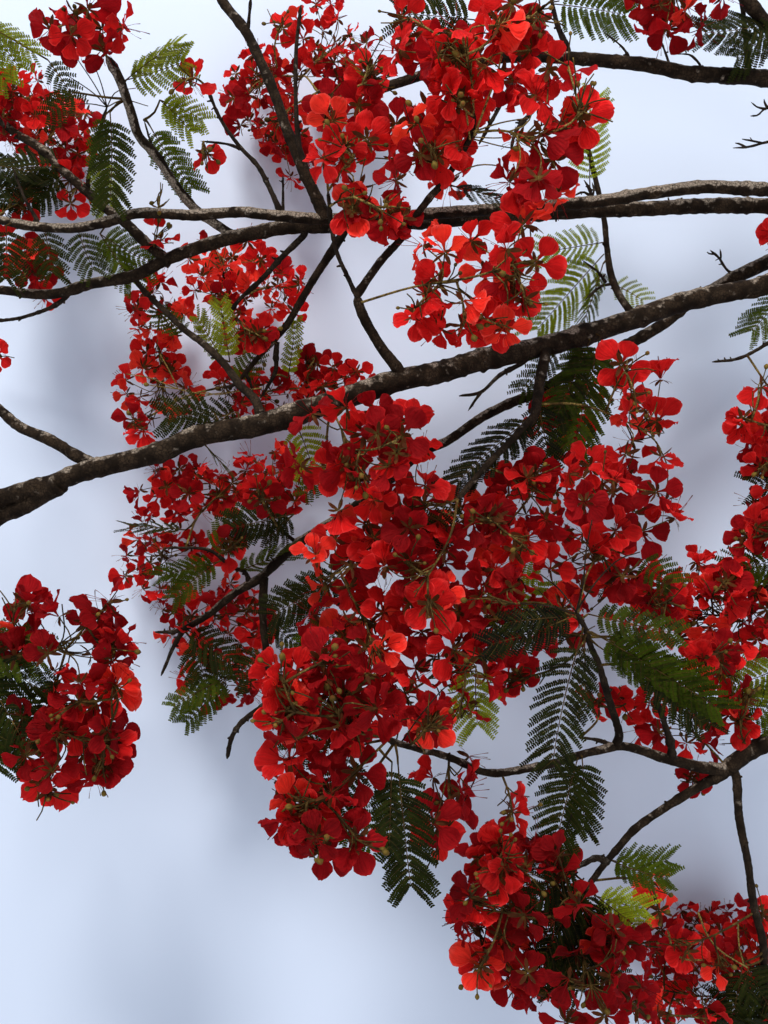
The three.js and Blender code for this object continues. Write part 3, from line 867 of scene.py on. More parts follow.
def buildScatterTree():
    tree = bpy.data.node_groups.new("scatterShapes", "GeometryNodeTree")
    groupSockets(tree, [
        ("Geometry", "NodeSocketGeometry", None),
        ("Shapes", "NodeSocketCollection", None),
        ("Size", "NodeSocketFloat", 1.0),
        ("Size Jitter", "NodeSocketFloat", 0.1),
        ("Seed", "NodeSocketInt", 0),
        ("Finish", "NodeSocketMaterial", None),
    ], [("Geometry", "NodeSocketGeometry")])
    nodes, links = tree.nodes, tree.links
    source, result = nodes.new("NodeGroupInput"), nodes.new("NodeGroupOutput")

    def namedValue(name, kind):
        node = nodes.new("GeometryNodeInputNamedAttribute")
        node.data_type = kind
        node.inputs["Name"].default_value = name
        return socketNamed(node.outputs, "Attribute")

    turn = nodes.new("FunctionNodeEulerToRotation")
    links.new(namedValue("turn", "FLOAT_VECTOR"), turn.inputs[0])
    jitter = nodes.new("FunctionNodeRandomValue")
    jitter.data_type = "FLOAT"
    lowest = mathNode(nodes, links, "SUBTRACT", 1.0, source.outputs["Size Jitter"])
    highest = mathNode(nodes, links, "ADD", 1.0, source.outputs["Size Jitter"])
    links.new(lowest, socketNamed(jitter.inputs, "Min"))
    links.new(highest, socketNamed(jitter.inputs, "Max"))
    links.new(source.outputs["Seed"], socketNamed(jitter.inputs, "Seed"))
    amount = mathNode(nodes, links, "MULTIPLY", socketNamed(jitter.outputs, "Value"), source.outputs["Size"])
    grown = nodes.new("ShaderNodeVectorMath")
    grown.operation = "SCALE"
    links.new(namedValue("size", "FLOAT_VECTOR"), grown.inputs[0])
    links.new(amount, grown.inputs["Scale"])
    shapes = nodes.new("GeometryNodeCollectionInfo")
    links.new(source.outputs["Shapes"], shapes.inputs["Collection"])
    shapes.inputs["Separate Children"].default_value = True
    shapes.inputs["Reset Children"].default_value = True
    placed = nodes.new("GeometryNodeInstanceOnPoints")
    links.new(source.outputs["Geometry"], placed.inputs["Points"])
    links.new(shapes.outputs["Instances"], placed.inputs["Instance"])
    placed.inputs["Pick Instance"].default_value = True
    links.new(namedValue("kind", "INT"), placed.inputs["Instance Index"])
    links.new(turn.outputs[0], placed.inputs["Rotation"])
    links.new(grown.outputs["Vector"], placed.inputs["Scale"])
    real = nodes.new("GeometryNodeRealizeInstances")
    links.new(placed.outputs["Instances"], real.inputs["Geometry"])
    coat = nodes.new("GeometryNodeSetMaterial")
    links.new(real.outputs["Geometry"], coat.inputs["Geometry"])
    links.new(source.outputs["Finish"], coat.inputs["Material"])
    links.new(coat.outputs["Geometry"], result.inputs["Geometry"])
    return tree


scatterTree = buildScatterTree()
scatterSockets = {s.name: s.identifier for s in scatterTree.interface.items_tree
                  if getattr(s, "in_out", "") == "INPUT"}


def turnsOf(xAxes, zHints):
    x = unit(xAxes)
    y = unit(np.cross(zHints, x))
    z = np.cross(x, y)
    return np.column_stack([np.arctan2(y[:, 2], z[:, 2]), -np.arcsin(np.clip(x[:, 2], -1, 1)),
                            np.arctan2(x[:, 1], x[:, 0])])


def scatter(name, shapes, places, turns, sizes, tones, finish, size=1.0, jitter=0.1, seed=1):
    places = np.asarray(places, float)
    kinds = np.random.default_rng(seed).integers(0, len(folders[shapes].objects), len(places))
    mesh = bpy.data.meshes.new(name + "Points")
    mesh.vertices.add(len(places))
    mesh.vertices.foreach_set("co", places.ravel())
    for label, kind, field, values in (("turn", "FLOAT_VECTOR", "vector", turns),
                                       ("size", "FLOAT_VECTOR", "vector", sizes),
                                       ("kind", "INT", "value", kinds), ("tone", "FLOAT", "value", tones)):
        layer = mesh.attributes.new(label, kind, "POINT")
        layer.data.foreach_set(field, np.asarray(values).ravel())
    piece = bpy.data.objects.new(name, mesh)
    bpy.context.scene.collection.objects.link(piece)
    modifier = piece.modifiers.new("scatter", "NODES")
    modifier.node_group = scatterTree
    for label, value in (("Shapes", folders[shapes]), ("Size", size), ("Size Jitter", jitter), ("Seed", seed),
                         ("Finish", finishes[finish])):
        modifier[scatterSockets[label]] = value
    bpy.context.view_layer.update()
    grown = bpy.data.meshes.new_from_object(piece.evaluated_get(bpy.context.evaluated_depsgraph_get()))
    piece.modifiers.clear()
    piece.data = grown
    coordinates = np.empty(len(grown.vertices) * 3)
    grown.vertices.foreach_get("co", coordinates)
    coordinates[2::3] = np.maximum(coordinates[2::3], 0.001)  # nothing dips into the floor
    grown.vertices.foreach_set("co", coordinates)
    grown.update()
    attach(piece, "root")
    print(f"{name}: {len(places)} placed, {sum(len(p.vertices) - 2 for p in grown.polygons)} triangles")
    return piece


# blossom

blossomPlan = {
    "seed": 7,
    "tries": 5000,
    "heights": [0.12, 0.80],
    "spacing": [0.053, 0.068],
    "petalLength": [0.041, 0.058],
    "depth": [0.014, 0.075],
    "choices": 14,
    "bladeAt": 0.66,
    "overhang": 0.006,
    "gapShare": 0.24,
    "gapMargin": 4,
    "groupRounds": 12,
    "ownSeeds": 1 << 30,
    "flowersEach": 9,
    "hubLift": [0.010, 0.035],
    "axis": 0.075,
    "pedicelThickness": [0.0028, 0.0042],
    "peduncleThickness": [0.0058, 0.0038],
    "litFrom": -0.5,
    "litOver": 1.6,
    "facingAway": 0.68,
    "awayPull": 0.95,
    "opening": [-18, 46],
    "openingJitter": 10,
    "budsEach": [1, 5],
    "budSize": [0.009, 0.015],
    "spentEach": [2, 6],
    "spentReach": [0.030, 0.070],
    "hubJitter": 0.006,
    "facingJitter": 0.45,
    "pedicelBow": 0.022,
    "looseSpread": 0.7,
    "looseFlatness": 0.6,
    "looseShares": (0.4, 0.5, 0.1),
}

# parts that stand round each flower: jitters of tilt are in degrees, and length is against a petal's
ringPlan = {
    "sepal": {"count": 5, "tilt": -38, "follow": 0.4, "tiltJitter": 8, "turnJitter": 0.08, "length": 0.55,
              "seed": 12, "sizeJitter": 0.1, "scatterSeed": 1},
    "stamen": {"count": 4, "tilt": 60, "follow": 0, "tiltJitter": 12, "turnJitter": 0.3, "length": 0.85,
               "seed": 13, "sizeJitter": 0.2, "scatterSeed": 31},
}

# each mass: its shares of crimson, scarlet and orange-red flowers, which lean to crimson in shaded masses
# and to orange in lit ones (partly painted light), how loosely they stand, and how much painted light they
# get
blossomTints = {
    "blossom_top_left": (0.58, 0.40, 0.02, 0.95, 0.08),
    "blossom_left_upper": (0.45, 0.45, 0.10, 0.95, 0.05),
    "blossom_top_middle": (0.35, 0.50, 0.15, 1.0, 0.1),
    "blossom_near_top": (0.28, 0.50, 0.22, 1.07, 0.26),
    "blossom_near_right": (0.20, 0.55, 0.25, 1.06, 0.26),
    "blossom_mid_left": (0.06, 0.44, 0.50, 1.06, 0.45),
    "blossom_left_hanging": (0.20, 0.50, 0.30, 1.0, 0.2),
    "blossom_behind_bough": (0.25, 0.50, 0.25, 1.0, 0.2),
    "blossom_under_bough": (0.35, 0.48, 0.17, 1.0, 0.12),
    "blossom_lower_left": (0.35, 0.48, 0.17, 1.12, 0.12),
    "blossom_centre": (0.40, 0.50, 0.10, 1.0, 0.0),
    "blossom_centre_right": (0.38, 0.50, 0.12, 1.05, 0.06),
    "blossom_nearest": (0.84, 0.16, 0.00, 1.08, 0.04),
    "blossom_small_low": (0.45, 0.50, 0.05, 1.15, -0.05),
    "blossom_right": (0.28, 0.54, 0.18, 1.0, 0.42),
    "blossom_right_edge": (0.40, 0.48, 0.12, 1.0, 0.12),
    "blossom_lower_right": (0.40, 0.50, 0.10, 1.08, 0.0),
    "blossom_bottom": (0.94, 0.06, 0.00, 1.19, -0.14),
    "blossom_bottom_right": (0.45, 0.45, 0.10, 1.0, 0.05),
    "blossom_left_low": (0.92, 0.08, 0.00, 1.19, -0.04),
    "blossom_top_right": (0.45, 0.45, 0.10, 1.0, -0.05),
}

# small sprays at the edges of the masses and outside them: middle, half width in m, flowers,
# and perhaps how much painted light their flowers get (painted shade below nought)
looseBlossom = [
    ([192, 82, 560], 0.006, 1), ([206, 146, 470], 0.010, 1), ([158, 206, 400], 0.010, 1),
    ([168, 240, 350], 0.012, 1),
    ([28, 266, 240], 0.045, 7), ([-4, 356, 330], 0.008, 1), ([778, 236, 330], 0.016, 2),
    ([75, 207, 290], 0.040, 3),
    ([18, 202, 290], 0.035, 3), ([570, 412, 410], 0.060, 6), ([694, 771, 400], 0.012, 2),
    ([655, 884, 440], 0.012, 1), ([508, 16, 735], 0.040, 5), ([528, 26, 745], 0.004, 1),
    ([104, 742, 640], 0.014, 2),
    ([66, 726, 640], 0.014, 2), ([408, 22, 700], 0.025, 2), ([752, 912, 300], 0.020, 3),
    ([606, 706, 420], 0.020, 2), ([505, 530, 600], 0.020, 2), ([412, 556, 700], 0.020, 2),
    ([284, 30, 260], 0.010, 1),
    ([498, 600, 690], 0.035, 4), ([472, 650, 700], 0.025, 3), ([508, 676, 600], 0.006, 1),
    ([246, 334, 290], 0.025, 3),
    ([764, 428, 440], 0.020, 3), ([742, 540, 420], 0.015, 2), ([736, 722, 450], 0.012, 2),
    ([620, 706, 400], 0.020, 2),
    ([660, 1016, 330], 0.020, 3), ([262, 500, 470], 0.020, 2), ([8, 88, 300], 0.025, 3),
    ([380, 650, 700], 0.020, 2),
    ([462, 330, 750], 0.010, 1), ([490, 326, 750], 0.010, 1), ([412, 312, 745], 0.008, 1),
    ([513, 286, 750], 0.014, 2),
    ([398, 446, 745], 0.016, 2), ([626, 366, 640], 0.008, 1), ([627, 396, 650], 0.010, 1),
    ([428, 604, 740], 0.016, 2),
    ([660, 606, 560], 0.030, 4), ([716, 648, 520], 0.040, 5), ([26, 604, 622], 0.010, 2),
    ([108, 604, 610], 0.008, 1),
    ([112, 642, 620], 0.012, 2), ([114, 684, 625], 0.012, 2), ([84, 708, 660], 0.014, 2),
    ([290, 712, 835], 0.010, 2),
    ([355, 842, 835], 0.004, 1), ([430, 726, 730], 0.008, 1), ([512, 812, 640], 0.006, 1),
    ([496, 866, 650], 0.030, 4),
    ([474, 900, 650], 0.016, 2), ([500, 846, 650], 0.016, 2), ([522, 868, 650], 0.014, 2),
    ([486, 962, 620], 0.020, 3), ([682, 944, 330], 0.016, 2), ([722, 962, 320], 0.016, 2),
    ([566, 634, 600], 0.010, 1), ([330, 106, 600], 0.018, 2), ([368, 90, 620], 0.012, 1),
    ([45, 780, 622], 0.006, 1),
    ([300, 800, 830], 0.016, 2), ([300, 826, 830], 0.012, 2), ([322, 850, 830], 0.006, 1),
    ([286, 674, 835], 0.014, 2),
    ([318, 660, 835], 0.014, 2), ([610, 944, 620], 0.018, 3), ([654, 906, 400], 0.014, 2),
    ([460, 112, 745], 0.020, 3),
    ([578, 114, 740], 0.008, 1), ([450, 56, 745], 0.014, 2), ([356, 208, 690], 0.010, 2),
    ([388, 216, 690], 0.008, 1),
    ([352, 470, 700], 0.018, 3), ([316, 366, 200], 0.020, 3), ([488, 508, 640], 0.020, 3),
    ([512, 544, 640], 0.020, 3),
    ([344, 150, 690], 0.012, 2), ([712, 596, 450], 0.018, 2), ([726, 672, 470], 0.014, 2),
    ([744, 700, 470], 0.012, 2),
    ([760, 462, 440], 0.012, 2), ([762, 530, 440], 0.012, 2), ([438, 842, 700], 0.008, 1),
    ([250, 340, 300], 0.020, 2),
    ([480, 926, 560], 0.012, 2, -0.3), ([508, 950, 545], 0.016, 3, -0.3), ([510, 980, 540], 0.014, 2, -0.3),
    ([548, 990, 530], 0.012, 2, -0.3), ([560, 880, 520], 0.022, 3, -0.4), ([566, 955, 510], 0.022, 3, -0.4),
    ([534, 915, 510], 0.020, 3, -0.4), ([460, 905, 540], 0.008, 1, -0.2), ([600, 955, 540], 0.016, 2, -0.2),
    ([289, 707, 835], 0.012, 2, -0.1), ([348, 690, 800], 0.012, 2, -0.1), ([354, 723, 800], 0.012, 2, -0.1),
    ([460, 700, 690], 0.008, 1), ([428, 723, 720], 0.012, 2), ([434, 157, 735], 0.010, 2),
    ([400, 217, 690], 0.014, 2),
    ([453, 62, 745], 0.012, 2, 0.2), ([373, 73, 640], 0.012, 2), ([580, 120, 740], 0.008, 1, 0.4),
    ([537, 480, 620], 0.014, 2),
    ([560, 413, 420], 0.020, 3), ([560, 603, 600], 0.012, 2), ([517, 677, 600], 0.006, 1),
    ([493, 867, 650], 0.012, 2, -0.2),
    ([50, 787, 640], 0.008, 1, -0.2), ([103, 767, 640], 0.010, 2, -0.2), ([720, 588, 450], 0.016, 2, 0.2),
    ([633, 1007, 520], 0.014, 2, -0.1), ([717, 1010, 330], 0.014, 2), ([520, 303, 745], 0.008, 1),
    ([137, 427, 330], 0.014, 2, 0.2),
    ([233, 547, 380], 0.014, 2), ([742, 420, 440], 0.014, 2), ([765, 393, 440], 0.010, 1),
    ([0, 640, 640], 0.012, 2, -0.1),
    ([536, 24, 748], 0.004, 1, 0.5), ([568, 78, 745], 0.006, 1, 0.5),
]
tintNames = ["crimson", "scarlet", "orange"]

# stalks that stand clear of the flowers: route, thickness at foot and tip in mm, how lit,
# and the size of the bud at the tip
clearStalks = [
    ([[262, 388, 300], [232, 392, 310], [205, 394, 320], [178, 389, 325], [150, 378, 330], [126, 374, 335]],
     3.6, 2.2, 1.6, 0),
    ([[178, 389, 325], [170, 372, 330], [160, 354, 335]], 3.2, 2.2, 1.8, 0),
    ([[178, 389, 325], [162, 387, 328], [149, 385, 330]], 2.8, 2.2, 1.4, 0.013),
    ([[214, 394, 318], [196, 398, 320], [180, 399, 322]], 2.8, 2.2, 1.2, 0.014),
    ([[232, 392, 310], [218, 395, 312], [206, 392, 315]], 2.6, 2.0, 1.0, 0.010),
    ([[205, 396, 318], [188, 410, 318], [172, 421, 316]], 2.6, 1.8, 0, 0),
    ([[474, 136, 735], [486, 104, 745], [497, 74, 750], [503, 48, 752]], 5.2, 3.6, 1.5, 0),
    ([[470, 140, 735], [465, 104, 742], [459, 74, 746]], 4.4, 3.2, 1.5, 0),
    ([[473, 132, 735], [500, 123, 742], [528, 118, 746]], 3.8, 2.4, 1.0, 0),
    ([[472, 137, 735], [496, 138, 740], [522, 136, 742]], 3.0, 2.0, 0.8, 0),
    ([[473, 139, 735], [500, 146, 740], [512, 148, 742]], 3.0, 2.2, 0.6, 0.014),
    ([[428, 126, 735], [420, 114, 740], [412, 106, 742]], 3.0, 2.2, 0, 0.015),
    ([[446, 182, 702], [428, 160, 715], [412, 128, 725], [404, 104, 730]], 3.2, 2.2, 0, 0),
    ([[445, 182, 702], [474, 166, 720], [500, 166, 730], [512, 172, 735]], 3.4, 2.4, 0.8, 0),
    ([[668, 930, 335], [673, 950, 338], [684, 959, 340], [702, 960, 340]], 5.6, 4.4, 2.4, 0),
    ([[698, 912, 345], [708, 936, 342], [722, 952, 340], [748, 968, 335]], 5.0, 3.8, 2.2, 0),
    ([[738, 924, 338], [739, 945, 336], [744, 966, 334]], 4.4, 3.4, 1.8, 0),
    ([[-20, 676, 620], [20, 664, 640], [52, 652, 650], [64, 634, 652], [62, 604, 654]], 4.4, 2.8, 0, 0),
    ([[62, 642, 651], [78, 630, 652], [96, 616, 654]], 3.2, 2.2, 0, 0.012),
    ([[55, 650, 650], [84, 652, 652], [104, 640, 652]], 3.2, 2.2, 0, 0),
    ([[478, 772, 632], [470, 790, 650], [462, 806, 660]], 3.4, 2.4, 0, 0),
    ([[395, 745, 745], [398, 728, 750], [388, 706, 755]], 3.6, 2.6, 0, 0),
    ([[392, 745, 750], [376, 726, 758], [356, 704, 765], [340, 694, 770]], 3.8, 2.6, 0, 0),
    ([[400, 744, 745], [420, 716, 748], [442, 690, 748], [452, 684, 748]], 3.6, 2.4, 0, 0),
    ([[576, 612, 718], [560, 590, 728], [540, 574, 734]], 4.0, 2.6, 0, 0),
    ([[576, 612, 718], [583, 584, 728], [586, 552, 734], [592, 520, 736]], 4.2, 2.6, 0, 0),
    ([[577, 610, 718], [596, 582, 726], [618, 560, 730], [640, 552, 730]], 4.0, 2.6, 0, 0),
    ([[574, 614, 718], [548, 606, 726], [520, 604, 730]], 3.6, 2.4, 0, 0),
    ([[576, 868, 590], [554, 850, 600], [528, 838, 605]], 3.6, 2.4, 0, 0),
    ([[576, 869, 590], [546, 868, 600], [512, 872, 605]], 3.6, 2.4, 0, 0),
    ([[578, 872, 590], [552, 893, 600], [520, 918, 600]], 3.6, 2.4, 0, 0),
    ([[584, 878, 585], [560, 915, 595], [548, 950, 595]], 3.6, 2.4, 0, 0),
    ([[588, 884, 580], [580, 920, 590], [572, 958, 590]], 3.6, 2.4, 0, 0),
    ([[590, 886, 580], [606, 920, 580], [620, 948, 580]], 3.4, 2.2, 0, 0),
    ([[574, 866, 590], [565, 838, 600], [572, 814, 605]], 3.2, 2.2, 0, 0),
    ([[107, 107, 342], [92, 92, 380], [62, 72, 430]], 3.2, 2.2, 0, 0),
    ([[107, 107, 342], [94, 84, 390], [78, 60, 450]], 3.2, 2.2, 0, 0),
    ([[107, 107, 342], [102, 86, 390], [94, 64, 450]], 3.2, 2.2, 0, 0),
    ([[107, 107, 342], [124, 100, 370], [148, 106, 400]], 3.2, 2.0, 0.1, 0),
    ([[107, 107, 342], [116, 92, 370], [136, 88, 400]], 3.0, 2.0, 0.1, 0),
    ([[107, 107, 342], [92, 104, 370], [76, 104, 400]], 3.0, 2.0, 0, 0),
]

# gaps in the blossom, where sky, bark, stalks or leaves show: start and end in the view, and half width
gapLanes = np.array([
    # top left
    (22, 16, 28, 40, 9), (128, 40, 150, 44, 9), (140, 2, 156, 4, 7), (92, 8, 98, 12, 6), (40, 5, 46, 4, 6),
    (50, 84, 76, 92, 10), (14, 84, 20, 96, 6), (78, 80, 84, 100, 6), (6, 152, 40, 176, 15),
    (44, 180, 70, 186, 10),
    (84, 120, 90, 130, 5), (36, 205, 48, 208, 7),
    # top middle
    (318, 38, 338, 32, 9), (372, 8, 390, 14, 12), (380, 30, 392, 34, 9), (250, 128, 258, 146, 8),
    (266, 114, 269, 120, 6),
    (272, 186, 296, 196, 12), (320, 78, 332, 80, 5), (304, 98, 322, 92, 8), (308, 126, 318, 134, 8),
    # top, right of the middle
    (405, 172, 416, 196, 11), (374, 186, 396, 190, 8), (353, 150, 356, 166, 7), (332, 200, 340, 208, 8),
    (408, 116, 414, 150, 8), (472, 160, 480, 166, 7), (456, 176, 496, 180, 12), (426, 14, 472, 18, 14),
    (374, 50, 394, 54, 9), (412, 92, 420, 98, 7), (486, 40, 494, 42, 6), (500, 58, 506, 64, 7),
    (512, 56, 552, 58, 9),
    (528, 72, 546, 76, 8), (488, 92, 500, 94, 7),
    (494, 118, 526, 124, 13), (562, 142, 580, 148, 9), (506, 142, 520, 146, 8), (530, 160, 546, 164, 7),
    (500, 186, 506, 194, 6), (572, 164, 590, 182, 11), (532, 240, 548, 238, 8), (486, 240, 496, 248, 7),
    (434, 268, 448, 262, 8), (432, 288, 444, 290, 9), (404, 296, 420, 298, 6), (421, 322, 422, 332, 6),
    (452, 312, 458, 314, 7), (488, 316, 498, 316, 5), (471, 334, 472, 340, 5), (522, 268, 540, 268, 5),
    (536, 318, 548, 304, 8), (494, 258, 498, 270, 5), (440, 240, 448, 246, 6),
    # left
    (160, 294, 172, 300, 8), (194, 292, 222, 296, 5), (246, 306, 262, 302, 8), (236, 314, 252, 316, 6),
    (200, 308, 216, 336, 12), (308, 272, 312, 300, 6),
    (156, 318, 182, 326, 9), (124, 296, 126, 340, 7), (140, 388, 172, 392, 12), (176, 398, 200, 400, 9),
    (116, 402, 122, 412, 7), (152, 424, 176, 424, 8),
    (200, 384, 222, 398, 11), (186, 414, 222, 412, 9), (272, 402, 284, 406, 7), (254, 366, 268, 358, 7),
    (286, 354, 298, 384, 8),
    (238, 446, 258, 450, 10), (296, 432, 322, 444, 10), (238, 506, 250, 512, 8), (280, 524, 296, 536, 9),
    (130, 476, 146, 470, 12), (208, 458, 226, 468, 10), (204, 488, 204, 510, 7), (228, 492, 230, 496, 6),
    (190, 524, 216, 520, 11), (180, 498, 188, 500, 5),
    # lower left
    (142, 528, 176, 530, 9), (176, 570, 212, 584, 11), (112, 548, 122, 572, 8), (164, 556, 184, 552, 6),
    (130, 596, 152, 614, 15), (184, 606, 186, 616, 6), (206, 630, 230, 642, 11), (196, 690, 224, 678, 11),
    (232, 618, 252, 614, 8), (276, 590, 292, 640, 11), (202, 664, 218, 656, 7), (164, 646, 176, 664, 12),
    (234, 690, 236, 700, 6), (256, 706, 262, 704, 6), (276, 654, 292, 652, 6),
    # centre
    (290, 432, 330, 436, 12), (306, 456, 326, 464, 10), (386, 482, 398, 488, 7), (408, 466, 418, 484, 7),
    (338, 488, 346, 488, 5), (384, 508, 392, 508, 6), (414, 524, 418, 526, 5), (452, 518, 474, 528, 10),
    (446, 480, 452, 474, 8), (436, 506, 470, 500, 6), (460, 555, 463, 558, 5), (322, 570, 340, 578, 9),
    (284, 560, 288, 572, 7), (438, 570, 442, 578, 5), (384, 582, 402, 578, 6), (334, 612, 384, 620, 8),
    (316, 628, 336, 642, 10), (284, 596, 312, 590, 8), (366, 632, 384, 634, 5), (470, 590, 478, 590, 5),
    (516, 604, 532, 594, 7), (540, 576, 560, 586, 8), (530, 566, 546, 582, 7), (538, 602, 546, 602, 6),
    (498, 630, 534, 622, 12), (370, 658, 376, 666, 5), (392, 656, 402, 656, 6), (382, 684, 396, 686, 7),
    (436, 688, 448, 690, 7), (468, 676, 484, 702, 10), (456, 722, 472, 716, 8),
    # right of the centre
    (494, 452, 524, 440, 10), (548, 446, 564, 460, 9), (580, 444, 592, 450, 8), (504, 500, 522, 508, 9),
    (572, 506, 588, 514, 7), (576, 528, 580, 544, 8), (574, 552, 582, 566, 9), (584, 552, 594, 562, 7),
    (580, 590, 596, 592, 5), (654, 530, 660, 544, 6), (634, 566, 638, 574, 6), (628, 458, 640, 462, 6),
    (650, 520, 664, 524, 9), (672, 526, 682, 527, 5), (674, 452, 686, 462, 8), (690, 470, 694, 540, 8),
    (664, 490, 668, 494, 5), (618, 366, 632, 364, 9), (650, 384, 664, 384, 5), (638, 402, 642, 408, 6),
    (650, 418, 664, 418, 5), (660, 446, 672, 450, 6), (680, 372, 684, 440, 8), (602, 408, 614, 412, 7),
    (616, 436, 626, 430, 7),
    # below the centre
    (328, 812, 346, 810, 8), (336, 838, 346, 846, 8), (352, 776, 372, 790, 9), (370, 756, 386, 756, 6),
    (266, 776, 272, 796, 9), (294, 808, 298, 818, 6), (308, 832, 308, 850, 5),
    (414, 790, 440, 788, 10), (436, 768, 452, 776, 8), (474, 800, 488, 806, 7), (428, 822, 434, 826, 6),
    (462, 842, 470, 848, 6),
    # right
    (596, 606, 632, 612, 8), (672, 560, 696, 572, 10), (676, 632, 684, 640, 6), (700, 548, 716, 540, 10),
    (748, 556, 764, 566, 10), (742, 656, 752, 662, 6), (730, 676, 754, 672, 7), (758, 676, 762, 716, 9),
    (724, 694, 732, 702, 7),
    (742, 402, 752, 404, 6), (758, 476, 766, 494, 8), (740, 482, 744, 484, 5), (740, 516, 746, 518, 5),
    (580, 716, 600, 726, 12), (620, 718, 630, 742, 8), (650, 722, 652, 736, 5), (672, 716, 688, 734, 10),
    (722, 716, 730, 724, 8), (640, 752, 716, 766, 6), (720, 760, 766, 736, 9),
    # bottom
    (534, 878, 566, 890, 12), (548, 930, 572, 944, 13), (562, 966, 592, 970, 8), (520, 822, 524, 826, 5),
    (526, 856, 550, 862, 7), (448, 934, 458, 938, 6), (486, 936, 494, 942, 6), (487, 954, 488, 962, 5),
    (522, 974, 528, 976, 5), (538, 986, 552, 984, 5), (528, 1014, 528, 1022, 6), (556, 1014, 558, 1022, 6),
    (590, 1014, 596, 1020, 7), (634, 930, 644, 946, 8), (600, 902, 636, 916, 10), (624, 968, 632, 966, 5),
    (618, 1008, 622, 1016, 6),
    (706, 994, 752, 1006, 14), (661, 926, 664, 934, 5), (722, 936, 728, 938, 4), (754, 938, 756, 944, 5),
    (698, 902, 702, 908, 5),
    # low on the left
    (68, 606, 90, 596, 10), (44, 624, 78, 634, 12), (20, 628, 32, 640, 8), (60, 660, 84, 668, 10),
    (42, 678, 62, 682, 6), (4, 672, 44, 668, 12), (4, 704, 10, 744, 10), (24, 708, 30, 714, 6),
    (40, 722, 48, 728, 5),
    (28, 738, 32, 756, 7), (76, 724, 78, 736, 5), (108, 702, 114, 702, 5), (58, 776, 60, 794, 6),
    (24, 764, 44, 762, 7),
], float)


def gapDepth(points):
    # how far in steps each point stands inside a gap, less than 0 outside all of them
    seen = viewOf(points)[:, None]
    starts = gapLanes[None, :, :2]
    spans = gapLanes[None, :, 2:4] - starts
    share = np.clip(np.sum((seen - starts) * spans, axis=2) / np.maximum(np.sum(spans**2, axis=2), 0.001),
                    0, 1)
    away = np.linalg.norm(seen - starts - share[:, :, None] * spans, axis=2)
    return np.max(gapLanes[None, :, 4] - away, axis=1)


def nodeTree(name):
    mesh = frame["nodes"][name].data
    points = [v.co.copy() for v in mesh.vertices]
    return BVHTree.FromPolygons(points, [tuple(p.vertices) for p in mesh.polygons])


def scatterInside(tree, low, high, spacing, depth, tries, rng):
    kept = []
    for candidate in rng.uniform(low, high, (tries, 3)):
        spot, normal, face, distance = tree.find_nearest(Vector(candidate))
        if (Vector(candidate) - spot).dot(normal) > 0 or not depth[0] < distance < depth[1]:
            continue
        if gapDepth(candidate[None])[0] > blossomPlan["gapMargin"]:
            continue
        if kept and np.min(np.linalg.norm(np.array(kept) - candidate, axis=1)) < spacing:
            continue
        kept.append(candidate)
    return np.array(kept)


def groupPoints(points, count, rng):
    centres = points[rng.choice(len(points), count, replace=False)]
    for step in range(blossomPlan["groupRounds"]):
        owner = np.argmin(np.linalg.norm(points[:, None] - centres[None], axis=2), axis=1)
        centres = np.array([points[owner == k].mean(axis=0) if np.any(owner == k) else centres[k]
                            for k in range(count)])
    return centres, owner


def nearestGrowth(place):
    distances = np.linalg.norm(np.array(growth["places"]) - place, axis=1) * np.array(growth["weights"])
    return np.array(growth["places"][int(np.argmin(distances))])


def archedPath(start, end, lift, rng, spacing=0.02):
    middle = (start + end) / 2 + rng.normal(0, 0.06, 3) * np.linalg.norm(end - start)
    middle[2] = max(0.01, middle[2] + lift * np.linalg.norm(end - start))
    return smoothPath([start, middle, end], spacing)[0]


def around(facings, angle, tilt):
    # directions that stand round each facing, at an angle about it and a tilt above its plane
    base = unit(np.cross(facings, np.where(np.abs(facings[:, 2:]) < 0.9, [[0, 0, 1]], [[1, 0, 0]])))
    other = np.cross(facings, base)
    out = base * np.cos(angle)[:, None] + other * np.sin(angle)[:, None]
    return out * np.cos(tilt)[:, None] + facings * np.sin(tilt)[:, None]


stalkBundle, darkStalkBundle = Bundle(), Bundle()
flowers = {"places": [], "facings": [], "lengths": [], "spins": [], "opens": [], "tones": []}
petals = {"places": [], "turns": [], "sizes": [], "tones": [], "tints": []}
buds = {"places": [], "facings": [], "sizes": []}


def petalMisfit(blades, shell):
    # steps by which a petal's blade covers a gap or stands outside its mass
    misfit = np.maximum(gapDepth(blades), 0)
    if shell is None:
        return misfit
    for i, blade in enumerate(blades):
        spot, normal, face, distance = shell.find_nearest(Vector(blade))
        if (Vector(blade) - spot).dot(normal) > 0:
            misfit[i] += max(0.0, distance - blossomPlan["overhang"]) / view["step"]
    return misfit


